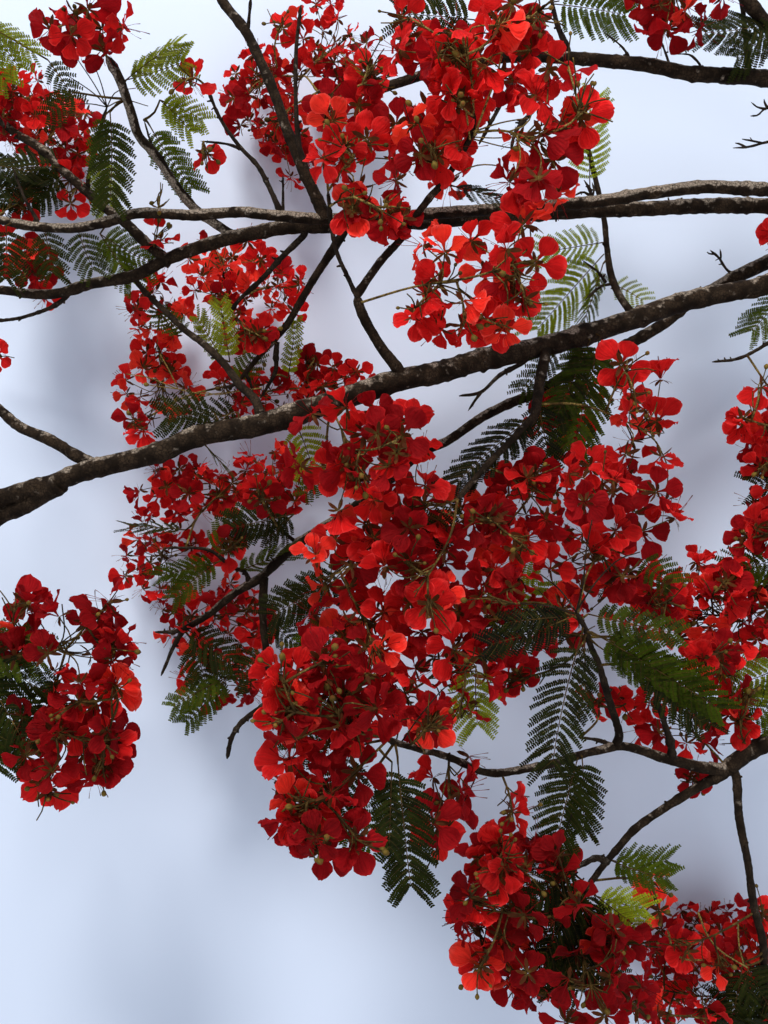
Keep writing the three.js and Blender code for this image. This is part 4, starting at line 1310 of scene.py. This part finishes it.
def addFlower(spot, hub, petalLength, shares, shell, light, rng):
    # tries some ways for the flower to face and keeps the one that best fits its mass and its gaps
    plan = blossomPlan
    count = plan["choices"]
    pull = np.where(rng.random(count) < plan["facingAway"], plan["awayPull"], -0.5 * plan["awayPull"])
    facings = unit(unit(spot - hub) - pull[:, None] * np.array([0, 0, 1])
                   + rng.normal(0, plan["facingJitter"], (count, 3)))
    spins = rng.uniform(0, 2 * math.pi, count)
    opens = np.radians(rng.uniform(*plan["opening"], count))
    length = petalLength * rng.uniform(0.86, 1.12)
    step = 2 * math.pi * np.arange(5)[None] / 5
    angles = spins[:, None] + step + rng.normal(0, 0.12, (count, 5))
    tilts = opens[:, None] + rng.normal(0, math.radians(plan["openingJitter"]), (count, 5))
    ways = around(np.repeat(facings, 5, axis=0), angles.ravel(), tilts.ravel())
    misfit = petalMisfit(spot + ways * length * plan["bladeAt"], shell).reshape(count, 5)
    best = int(np.argmin(misfit.sum(axis=1)))
    way = ways.reshape(count, 5, 3)[best]
    facing = facings[best]
    tone = light + 0.3 * rng.random()
    tint = rng.choice(3, p=np.array(shares) / sum(shares))
    normal = unit(facing - way * (way @ facing)[:, None] + rng.normal(0, 0.2, way.shape))
    sizes = length * rng.uniform(0.88, 1.12, (5, 1)) * np.column_stack(
        [np.ones(5), rng.uniform(0.85, 1.12, 5), np.ones(5)])
    tones = np.clip(tone + rng.uniform(-0.1, 0.3, 5), -0.05, 1.2)
    kept = misfit[best] < plan["gapShare"] * length / view["step"] * plan["bladeAt"]
    if kept.sum() < 2:
        return False
    petals["places"].append(spot + way[kept] * 0.002)
    petals["turns"].append(turnsOf(way[kept], normal[kept]))
    petals["sizes"].append(sizes[kept])
    petals["tones"].append(tones[kept])
    petals["tints"].append(np.full(kept.sum(), tint))
    for key, value in (("places", spot), ("facings", facing), ("lengths", length), ("spins", spins[best]),
                       ("opens", opens[best]), ("tones", tone)):
        flowers[key].append(value)
    return True


def growCorymb(spots, nearness, shares, lift, shell, heights, rng):
    # one flower head: a stalk from the nearest limb, a short axis, and a pedicel to each flower
    plan = blossomPlan
    petalLength = np.interp(nearness, [0, 1], plan["petalLength"])
    pedicelThickness = np.interp(nearness, [0, 1], plan["pedicelThickness"])
    hub = spots.mean(axis=0) + rng.normal(0, plan["hubJitter"], 3)
    hub[2] += np.interp(nearness, [0, 1], plan["hubLift"])
    path = archedPath(nearestGrowth(hub), hub, 0.05, rng, 0.015)
    # stalks higher in the view count as lit and get more of the pale patch colour: painted light
    lit = float(np.clip((hub[1] - plan["litFrom"]) / plan["litOver"], 0, 1))
    addTube(stalkBundle, path, np.linspace(*plan["peduncleThickness"], len(path)) / 2, 5, lit)
    springFrom(path, 1.0)
    heading = unit(path[-1] - path[-3])
    axisCount = max(2, min(len(path) - 1, round(plan["axis"] / 0.015)))
    axis = path[-axisCount:]
    for spot in spots:
        own = np.random.default_rng(rng.integers(plan["ownSeeds"]))
        # flowers lower in their mass get a darker tone (painted shade), and the mass's lift adds painted
        # light
        light = 0.5 * np.clip((spot[2] - heights[0]) / (heights[1] - heights[0]), 0, 1) + lift
        if not addFlower(spot, hub, petalLength, shares, shell, light, own):
            continue
        foot = axis[own.integers(0, len(axis))]
        bow = foot + heading * plan["pedicelBow"] + (spot - foot) * 0.4 + own.normal(0, 0.004, 3)
        pedicel = smoothPath([foot, bow, spot], 0.016)[0]
        addTube(stalkBundle, pedicel, np.linspace(pedicelThickness, 0.75 * pedicelThickness,
                                                  len(pedicel)) / 2, 3,
                lit * own.uniform(0.6, 1.3))
    for bud in range(rng.integers(*plan["budsEach"])):
        spot = hub + heading * rng.uniform(0.0, 0.045) + rng.normal(0, 0.018, 3)
        spot[2] = max(0.02, spot[2])
        stem = smoothPath([hub, (hub + spot) / 2 + heading * 0.004, spot], 0.012)[0]
        addTube(stalkBundle, stem, np.full(len(stem), 0.4 * pedicelThickness), 3)
        buds["places"].append(spot)
        buds["facings"].append(unit(spot - hub))
        buds["sizes"].append(rng.uniform(*plan["budSize"]))
    for spent in range(rng.integers(*plan["spentEach"])):
        # stalks that have shed their flowers
        foot = axis[rng.integers(0, len(axis))]
        end = foot + unit(heading + rng.normal(0, 0.7, 3)) * rng.uniform(*plan["spentReach"])
        end[2] = max(0.02, end[2])
        stem = smoothPath([foot, (foot + end) / 2 + rng.normal(0, 0.004, 3), end], 0.02)[0]
        addTube(stalkBundle, stem, np.linspace(0.5, 0.36, len(stem)) * pedicelThickness, 3, lit * 0.4)


for node, (*shares, looseness, lift) in blossomTints.items():
    plan = blossomPlan
    rng = np.random.default_rng(plan["seed"])
    low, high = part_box(node)
    nearness = float(np.clip(((low[2] + high[2]) / 2 - plan["heights"][0])
                             / (plan["heights"][1] - plan["heights"][0]), 0, 1))
    spacing = np.interp(nearness, [0, 1], plan["spacing"]) * looseness
    shell = nodeTree(node)
    spots = scatterInside(shell, low, high, spacing, plan["depth"], plan["tries"], rng)
    centres, owner = groupPoints(spots, max(1, round(len(spots) / plan["flowersEach"])), rng)
    for k in sorted(range(len(centres)),
                    key=lambda k: np.linalg.norm(nearestGrowth(centres[k]) - centres[k])):
        growCorymb(spots[owner == k], nearness, shares, lift, shell, (low[2], high[2]), rng)
for number, (place, halfWidth, count, *lift) in enumerate(looseBlossom):
    plan = blossomPlan
    rng = np.random.default_rng([plan["seed"], number])
    spread = rng.normal(0, halfWidth * plan["looseSpread"], (count, 3)) * [1, 1, plan["looseFlatness"]]
    spots = placeOf(place) + spread
    growCorymb(spots, np.clip(place[2] / 800, 0, 1), plan["looseShares"], lift[0] if lift else 0.0, None,
               (0, spots[:, 2].max() + 0.01), rng)
for route, footSize, tipSize, lit, budSize in clearStalks:
    stem = smoothPath([placeOf(place) for place in route], 0.014)[0]
    # stalks with no light are drawn with the darker twig bark instead: painted shade
    addTube(stalkBundle if lit else darkStalkBundle, stem, np.linspace(footSize, tipSize, len(stem)) / 2000,
            5, lit)
    if budSize:
        buds["places"].append(stem[-1])
        buds["facings"].append(unit(stem[-1] - stem[-2]))
        buds["sizes"].append(budSize)
for key in flowers:
    flowers[key] = np.array(flowers[key])
print("flowers:", len(flowers["places"]))


def ringOfParts(ring):
    # so many parts round each flower, which follow its petals' tilt by a share
    local = np.random.default_rng(ring["seed"])
    total = len(flowers["places"])
    tilts = flowers["opens"] * ring["follow"] + math.radians(ring["tilt"])
    rows = {"places": [], "turns": [], "sizes": [], "tones": []}
    for k in range(ring["count"]):
        angle = (flowers["spins"] + 2 * math.pi * (k + 0.5) / ring["count"]
                 + local.normal(0, ring["turnJitter"], total))
        tilt = tilts + np.radians(local.normal(0, ring["tiltJitter"], total))
        ahead = around(flowers["facings"], angle, tilt)
        normal = unit(flowers["facings"] - ahead * np.sum(ahead * flowers["facings"], axis=1)[:, None]
                      + local.normal(0, 0.16, (total, 3)))
        length = flowers["lengths"] * ring["length"]
        rows["places"].append(flowers["places"] + ahead * 0.002)
        rows["turns"].append(turnsOf(ahead, normal))
        rows["sizes"].append(np.column_stack([length, length * local.uniform(0.88, 1.12, total), length]))
        rows["tones"].append(np.clip(flowers["tones"] + local.uniform(-0.1, 0.3, total), 0, 1))
    return {key: np.concatenate(value) for key, value in rows.items()}


petals = {key: np.concatenate(value) for key, value in petals.items()}
blossomNodes = list(blossomTints)
for number, tint in enumerate(tintNames):
    chosen = petals["tints"] == number
    piece = scatter("petals_" + tint, "petal", petals["places"][chosen], petals["turns"][chosen],
                    petals["sizes"][chosen], petals["tones"][chosen], tint + "Petal", 1.0, 0.04, 21 + number)
    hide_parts(*blossomNodes)

for part, ring in ringPlan.items():
    rows = ringOfParts(ring)
    piece = scatter(part + "s", part, rows["places"], rows["turns"], rows["sizes"], rows["tones"], part,
                    1.0, ring["sizeJitter"], ring["scatterSeed"])
budSizes = np.array(buds["sizes"])
budFacings = np.array(buds["facings"])
piece = scatter("buds", "bud", buds["places"], turnsOf(budFacings, np.cross(budFacings, [0.3, 0.5, 0.8])),
                np.repeat(budSizes[:, None], 3, axis=1), np.linspace(0, 1, len(budSizes)), "bud", 1.0, 0.2,
                41)

# leaves, in sprays that fan out from where they spring

leafPlan = {
    "seed": 5,
    "lengths": [0.08, 0.30],
    "pairSpacing": [0.0120, 0.0165],
    "pinnaLength": [0.050, 0.085],
    "leafletSpacing": 0.0040,
    "leafletLength": [0.0058, 0.0078],
    "firstPair": 0.14,
    "pinnaAngle": [76, 46],
    "pinnaSweep": 0.26,
    "leafletAngle": 68,
    "sag": 0.10,
    "tilt": 0.42,
    "fan": 22,
    "rachisRadius": [0.0015, 0.0007],
    "pinnaRadius": [0.0007, 0.0003],
    "stemRadius": [0.0032, 0.0020],
    "stemFrom": 0.012,
}

# each spray: where its leaves spring from, where the leaf tips reach to, leaves, tint, and perhaps
# its breadth, how much painted light its leaflets get (painted shade below nought), and the size of its
# leaflets
leafSprays = [
    ([-18, 22, 560], [28, 60, 540], 2, "pale", 0.65, -0.2),
    ([-26, 36, 555], [2, 80, 520], 1, "pale", 0.7, -0.2),
    ([48, 60, 470], [74, 98, 440], 1, "dark", 0.6, 0.3), ([126, 80, 545], [182, 52, 560], 2, "pale", 0.8),
    ([160, 100, 495], [198, 122, 505], 2, "pale", 0.7),
    ([110, 112, 520], [122, 196, 500], 1, "dark", 0.75, 0.4),
    ([106, 114, 515], [98, 166, 500], 1, "mid", 0.6), ([150, 126, 400], [188, 188, 360], 1, "mid", 0.75, 0.1),
    ([102, 160, 330], [102, 206, 320], 1, "pale"), ([62, 168, 300], [6, 170, 270], 1, "dark"),
    ([66, 174, 300], [12, 206, 275], 2, "dark"), ([6, 226, 395], [8, 276, 360], 1, "dark"),
    ([45, 228, 400], [50, 272, 365], 1, "dark", 0.9, 0.2),
    ([78, 230, 400], [88, 268, 365], 1, "mid", 0.9, -0.2),
    ([100, 234, 300], [138, 276, 290], 2, "mid", 0.9, 0.3), ([-10, 232, 380], [-20, 276, 350], 1, "dark"),
    ([186, 334, 330], [158, 312, 290], 1, "mid", 0.7),
    ([224, 362, 380], [198, 320, 350], 1, "pale", 0.55, -0.2),
    ([230, 362, 390], [224, 306, 400], 1, "pale", 0.5, 0.1),
    ([238, 382, 218], [262, 344, 225], 1, "mid", 0.7, 0.4),
    ([288, 378, 255], [300, 322, 262], 1, "pale", 0.4), ([214, 412, 590], [168, 420, 600], 1, "dark"),
    ([238, 412, 600], [204, 426, 605], 1, "dark"), ([206, 446, 560], [232, 472, 550], 1, "mid"),
    ([296, 424, 560], [314, 462, 540], 1, "pale"), ([186, 530, 300], [132, 530, 310], 1, "dark"),
    ([212, 552, 368], [240, 526, 372], 1, "mid"), ([294, 514, 400], [236, 524, 390], 1, "dark"),
    ([292, 516, 400], [266, 538, 390], 1, "dark"), ([218, 562, 372], [164, 584, 380], 2, "mid", 0.7),
    ([236, 572, 364], [286, 552, 378], 1, "mid"), ([328, 588, 480], [276, 612, 470], 1, "dark"),
    ([266, 618, 356], [300, 650, 350], 1, "dark"), ([348, 626, 610], [304, 650, 560], 1, "mid"),
    ([188, 630, 322], [228, 660, 330], 1, "dark"), ([192, 640, 322], [206, 684, 320], 1, "dark"),
    ([226, 678, 330], [182, 716, 330], 2, "mid", 0.65), ([264, 652, 352], [238, 672, 340], 1, "dark"),
    ([536, 414, 596], [446, 477, 640], 1, "dark", 0.85, -0.3),
    ([538, 400, 560], [550, 456, 580], 1, "dark", 0.8, -0.2),
    ([600, 336, 440], [572, 448, 560], 1, "mid", 0.8, -0.2),
    ([590, 340, 440], [560, 420, 540], 1, "mid", 0.7, -0.3),
    ([558, 350, 445], [524, 390, 460], 1, "dark", 0.7, 0.2),
    ([470, 520, 660], [430, 530, 650], 1, "dark"), ([478, 622, 560], [540, 590, 560], 1, "pale"),
    ([578, 614, 716], [494, 654, 738], 1, "dark", 0.6, -0.3),
    ([572, 616, 712], [510, 622, 735], 1, "dark", 0.55, -0.2),
    ([582, 634, 704], [548, 756, 720], 1, "dark", 0.85, -0.3, 0.85),
    ([584, 640, 698], [588, 708, 700], 1, "dark", 0.6, 0.1, 0.8),
    ([588, 614, 712], [674, 640, 740], 1, "mid", 0.55, -0.2),
    ([592, 632, 700], [712, 704, 720], 1, "mid", 0.62, -0.1),
    ([598, 646, 690], [682, 700, 690], 1, "mid", 0.6, 0.2),
    ([676, 676, 600], [712, 728, 560], 1, "dark", 0.7),
    ([578, 757, 560], [556, 846, 600], 1, "dark"), ([582, 757, 560], [584, 826, 590], 1, "dark", 0.8, 0.2),
    ([476, 666, 700], [478, 724, 700], 1, "pale"), ([392, 762, 795], [386, 846, 815], 1, "dark", 0.6),
    ([398, 764, 795], [410, 886, 810], 1, "dark", 0.85),
    ([610, 860, 512], [668, 874, 520], 2, "mid", 0.8, 0.6),
    ([596, 896, 565], [642, 918, 575], 2, "pale", 0.8, 0.7), ([562, 925, 580], [620, 965, 560], 2, "dark"),
    ([556, 930, 590], [570, 992, 570], 2, "dark"), ([545, 915, 600], [600, 930, 600], 1, "dark"),
    ([795, 556, 400], [740, 580, 410], 2, "mid"), ([802, 655, 430], [732, 686, 440], 1, "pale"),
    ([802, 676, 420], [752, 712, 440], 2, "mid", 0.8), ([744, 962, 320], [772, 1018, 300], 1, "dark"),
    ([742, 966, 320], [734, 1020, 300], 1, "dark"), ([790, 290, 300], [754, 328, 300], 1, "mid"),
    ([782, 22, 420], [704, 34, 430], 1, "dark"), ([778, 30, 418], [738, 54, 425], 1, "dark"),
    ([476, 20, 610], [402, 14, 612], 1, "dark"), ([478, 26, 606], [428, 50, 610], 1, "dark", 0.9, 0.2),
    ([554, 4, 430], [624, 14, 430], 1, "mid"), ([590, 190, 262], [596, 100, 280], 1, "pale", 0.75, 0.1, 0.8),
    ([604, 254, 310], [534, 328, 300], 1, "pale", 1.0, 0.0, 0.85),
    ([606, 242, 305], [548, 258, 320], 1, "pale", 0.9, 0.1, 0.85),
    ([603, 264, 315], [574, 336, 300], 1, "mid", 0.9, 0.5, 0.8),
    ([612, 284, 345], [642, 296, 350], 1, "pale", 0.8, 0.1, 0.8),
    ([-34, 645, 620], [44, 692, 650], 1, "dark"), ([-34, 640, 620], [38, 662, 655], 1, "mid"),
    ([-24, 655, 620], [14, 756, 640], 2, "dark"), ([-30, 650, 600], [-20, 730, 620], 1, "dark"),
    ([374, 84, 640], [346, 58, 640], 1, "pale", 0.6), ([452, 186, 690], [500, 200, 700], 1, "dark"),
    ([330, 470, 560], [306, 490, 540], 1, "mid", 0.6), ([640, 560, 560], [668, 585, 560], 1, "mid"),
    ([-34, 160, 345], [34, 174, 340], 1, "dark"), ([-30, 190, 340], [40, 196, 335], 1, "dark", 0.7),
    ([342, 576, 520], [300, 600, 500], 1, "dark"),
    ([800, 470, 400], [758, 484, 400], 1, "dark"), ([800, 1020, 300], [730, 1022, 290], 2, "dark"),
    ([560, 945, 560], [530, 985, 540], 1, "dark"), ([548, 920, 560], [520, 900, 560], 1, "dark"),
    ([350, 750, 700], [330, 820, 690], 1, "dark"), ([340, 700, 690], [300, 745, 680], 1, "dark"),
    ([345, 806, 700], [372, 846, 700], 1, "mid"), ([60, 680, 560], [40, 720, 560], 1, "dark"),
    ([74, 92, 480], [48, 112, 470], 1, "dark", 0.7, 0.2),
    ([600, 636, 706], [704, 672, 716], 1, "mid", 0.45, 0.1),
    ([634, 640, 700], [668, 700, 690], 1, "mid", 0.5, -0.1),
    ([644, 668, 690], [696, 722, 670], 1, "dark", 0.7, 0.1),
    ([578, 868, 600], [528, 902, 605], 1, "dark", 0.9, -0.1),
    ([582, 880, 600], [546, 950, 600], 1, "dark", 0.8, -0.2),
    ([590, 888, 595], [580, 952, 590], 1, "dark", 0.8), ([540, 850, 600], [502, 880, 600], 1, "dark", 0.7),
]

leafStalkBundle = Bundle()
leaflets = {tint: {"places": [], "turns": [], "sizes": [], "tones": []} for tint in ("dark", "mid", "pale")}


def growLeaf(base, heading, normal, length, tint, local, breadth=1.0, lighter=0.0, fineness=1.0):
    plan = leafPlan
    across = unit(np.cross(normal, heading))
    steps = np.linspace(0, 1, 9)[:, None]
    curl = across * local.uniform(-0.12, 0.12) + normal * local.uniform(-0.12, 0.05)
    rachis = base + heading * length * steps + curl * length * (steps**2 - 0.5 * steps)
    rachis[:, 2] -= plan["sag"] * length * (steps[:, 0]**2 - steps[:, 0])
    rachis[:, 2] = np.maximum(rachis[:, 2], 0.006)
    addTube(leafStalkBundle, rachis, np.linspace(*plan["rachisRadius"], len(rachis)), 4)
    pairs = max(6, round(length / np.interp(length, plan["lengths"], plan["pairSpacing"])))
    longest = np.interp(length, plan["lengths"], plan["pinnaLength"]) * breadth
    leafletLength = np.interp(length, plan["lengths"], plan["leafletLength"]) * fineness
    store = leaflets[tint]
    tone = local.uniform(0, 1)
    for i in range(pairs):
        share = i / (pairs - 1)
        u = plan["firstPair"] + (1 - plan["firstPair"]) * share
        spot = np.array([np.interp(u, steps[:, 0], rachis[:, k]) for k in range(3)])
        ahead = unit(np.array([np.interp(min(u + 0.04, 1), steps[:, 0], rachis[:, k]) for k in range(3)])
                     - np.array([np.interp(u - 0.04, steps[:, 0], rachis[:, k]) for k in range(3)]))
        side = unit(np.cross(normal, ahead))
        reach = longest * min(1.0, 0.50 + 0.8 * math.sin(math.pi * (0.12 + 0.72 * share)))
        angle = math.radians(np.interp(share, [0, 1], plan["pinnaAngle"]))
        for hand in (-1, 1):
            reachHere = reach * local.uniform(0.9, 1.06)
            turn = angle + local.normal(0, 0.05)
            out = unit(ahead * math.cos(turn) + side * hand * math.sin(turn) + normal * local.normal(-0.04,
                                                                                                     0.07))
            v = np.linspace(0, 1, 4)[:, None]
            pinna = spot + out * reachHere * v + ahead * reachHere * plan["pinnaSweep"] * (v**2 - 0.3 * v)
            pinna[:, 2] -= 0.10 * reachHere * v[:, 0]**2
            pinna[:, 2] = np.maximum(pinna[:, 2], 0.003)
            addTube(leafStalkBundle, pinna, np.linspace(*plan["pinnaRadius"], 4), 3)
            count = max(6, round(reachHere / plan["leafletSpacing"]))
            w = np.linspace(0.07, 1.0, count)
            spots = np.column_stack([np.interp(w, v[:, 0], pinna[:, k]) for k in range(3)])
            forward = unit(np.gradient(spots, axis=0))
            flat = unit(normal + local.normal(0, 0.12, 3))
            # lighter: painted light for the whole spray, painted shade where it is below nought
            pinnaTone = lighter + tone * 0.4 + local.uniform(-0.1, 0.5)
            beside = unit(np.cross(flat[None], forward))
            lengths = leafletLength * (0.62 + 0.38 * np.sin(math.pi * (0.15 + 0.7 * w)))
            lean = math.radians(plan["leafletAngle"])
            for edge in (-1, 1):
                ways = forward * math.cos(lean) + beside * edge * math.sin(lean) + local.normal(0, 0.04,
                                                                                                (count, 3))
                store["places"].append(spots)
                store["turns"].append(turnsOf(ways, np.repeat(flat[None], count, axis=0)))
                store["sizes"].append(np.repeat(lengths[:, None], 3, axis=1))
                store["tones"].append(np.clip(pinnaTone + local.uniform(-0.1, 0.3, count), 0, 2))


local = np.random.default_rng(leafPlan["seed"])
leafCount = 0
for base, tip, count, tint, *breadth in leafSprays:
    foot, end = placeOf(base), placeOf(tip)
    start = nearestGrowth(foot)
    if np.linalg.norm(start - foot) > leafPlan["stemFrom"]:
        stem = archedPath(start, foot, 0.03, local)
        addTube(stalkBundle, stem, np.linspace(*leafPlan["stemRadius"], len(stem)), 5)
    for k in range(count):
        turn = math.radians((k - (count - 1) / 2) * leafPlan["fan"] + local.normal(0, 3))
        way = end - foot
        heading = unit(np.array([way[0] * math.cos(turn) - way[1] * math.sin(turn),
                                 way[0] * math.sin(turn) + way[1] * math.cos(turn), way[2]]))
        normal = np.array([0, 0, 1]) + local.normal(0, leafPlan["tilt"], 3)
        normal = unit(normal - heading * np.dot(normal, heading))
        growLeaf(foot, heading, normal, np.linalg.norm(way) * local.uniform(0.92, 1.04), tint, local,
                 *breadth)
        leafCount += 1
print("leaves:", leafCount)

leafNodes = [name for name in frame["nodes"] if name.startswith("leaves_")]
for number, (tint, store) in enumerate(leaflets.items()):
    piece = scatter("leaflets_" + tint, "leaflet", np.vstack(store["places"]), np.vstack(store["turns"]),
                    np.vstack(store["sizes"]), np.concatenate(store["tones"]), tint + "Leaflet", 1.0, 0.12,
                    51 + number)
    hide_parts(*leafNodes)

for name, bundle, finish, slotName in (("bare_twigs", twigBundle, "twigBark", "bark"),
                                       ("flower_stalks", stalkBundle, "greenStalk", "blossom"),
                                       ("dark_stalks", darkStalkBundle, "twigBark", "blossom"),
                                       ("leaf_stalks", leafStalkBundle, "greenStalk", "foliage")):
    piece = makePiece(name, bundle, [finishes[finish]])
    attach(piece, "root")

# floor, light and camera

studio = {
    "floor": (0.64, 0.73, 0.90),
    "floorSize": 200,
    "world": (0.86, 0.90, 0.96),
    "worldStrength": 0.58,
    "sensor": 36,
    "farthest": 60,
    "lamps": [
        {"place": (-2.0, 7.4, 5.4), "size": 2.7, "power": 800, "colour": (1.0, 0.96, 0.90)},
        {"place": (1.6, -1.2, 5.2), "size": 3.5, "power": 70, "colour": (0.96, 0.98, 1.0)},
    ],
}

floorBundle = Bundle()
half = studio["floorSize"] / 2
floorBundle.add([(-half, -half, 0), (half, -half, 0), (half, half, 0), (-half, half, 0)], [(0, 1, 2, 3)])
floorFinish, floorNodes, floorLinks, floorShader, floorOutput = newFinish("paleFloor")
floorSpot = floorNodes.new("ShaderNodeTexCoord")
floorTone = noiseAt(floorNodes, floorLinks, floorSpot.outputs["Object"], 1.5, 2)
paler = tuple(min(1.0, c * 1.04) for c in studio["floor"])
floorLinks.new(mixColour(floorNodes, floorLinks, floorTone, (*studio["floor"], 1), (*paler, 1)),
               floorShader.inputs["Base Color"])
floorShader.inputs["Roughness"].default_value = 0.9
floor = makePiece("floor", floorBundle, [floorFinish], False)

for number, lamp in enumerate(studio["lamps"]):
    data = bpy.data.lights.new(f"lamp{number}", "AREA")
    data.shape = "DISK"
    data.size = lamp["size"]
    data.energy = lamp["power"]
    data.color = lamp["colour"]
    holder = bpy.data.objects.new(data.name, data)
    holder.location = lamp["place"]
    aim = Vector((view["middleX"], view["middleY"], 0.3)) - Vector(lamp["place"])
    holder.rotation_euler = aim.to_track_quat("-Z", "Y").to_euler()
    bpy.context.scene.collection.objects.link(holder)

world = bpy.data.worlds.new("studioAir")
world.use_nodes = True
air = world.node_tree.nodes["Background"]
air.inputs["Color"].default_value = (*studio["world"], 1)
air.inputs["Strength"].default_value = studio["worldStrength"]
bpy.context.scene.world = world
bpy.context.scene.view_settings.view_transform = "Standard"  # keeps the reds as deep as they are

lens = bpy.data.cameras.new("camera")
lens.sensor_width = studio["sensor"]
lens.lens = studio["sensor"] * (view["eyeHeight"] - view["stepHeight"]) / (view["rows"] * view["step"])
lens.clip_end = studio["farthest"]
camera = bpy.data.objects.new("camera", lens)
camera.location = (view["middleX"], view["middleY"], view["eyeHeight"])
bpy.context.scene.collection.objects.link(camera)
bpy.context.scene.camera = camera
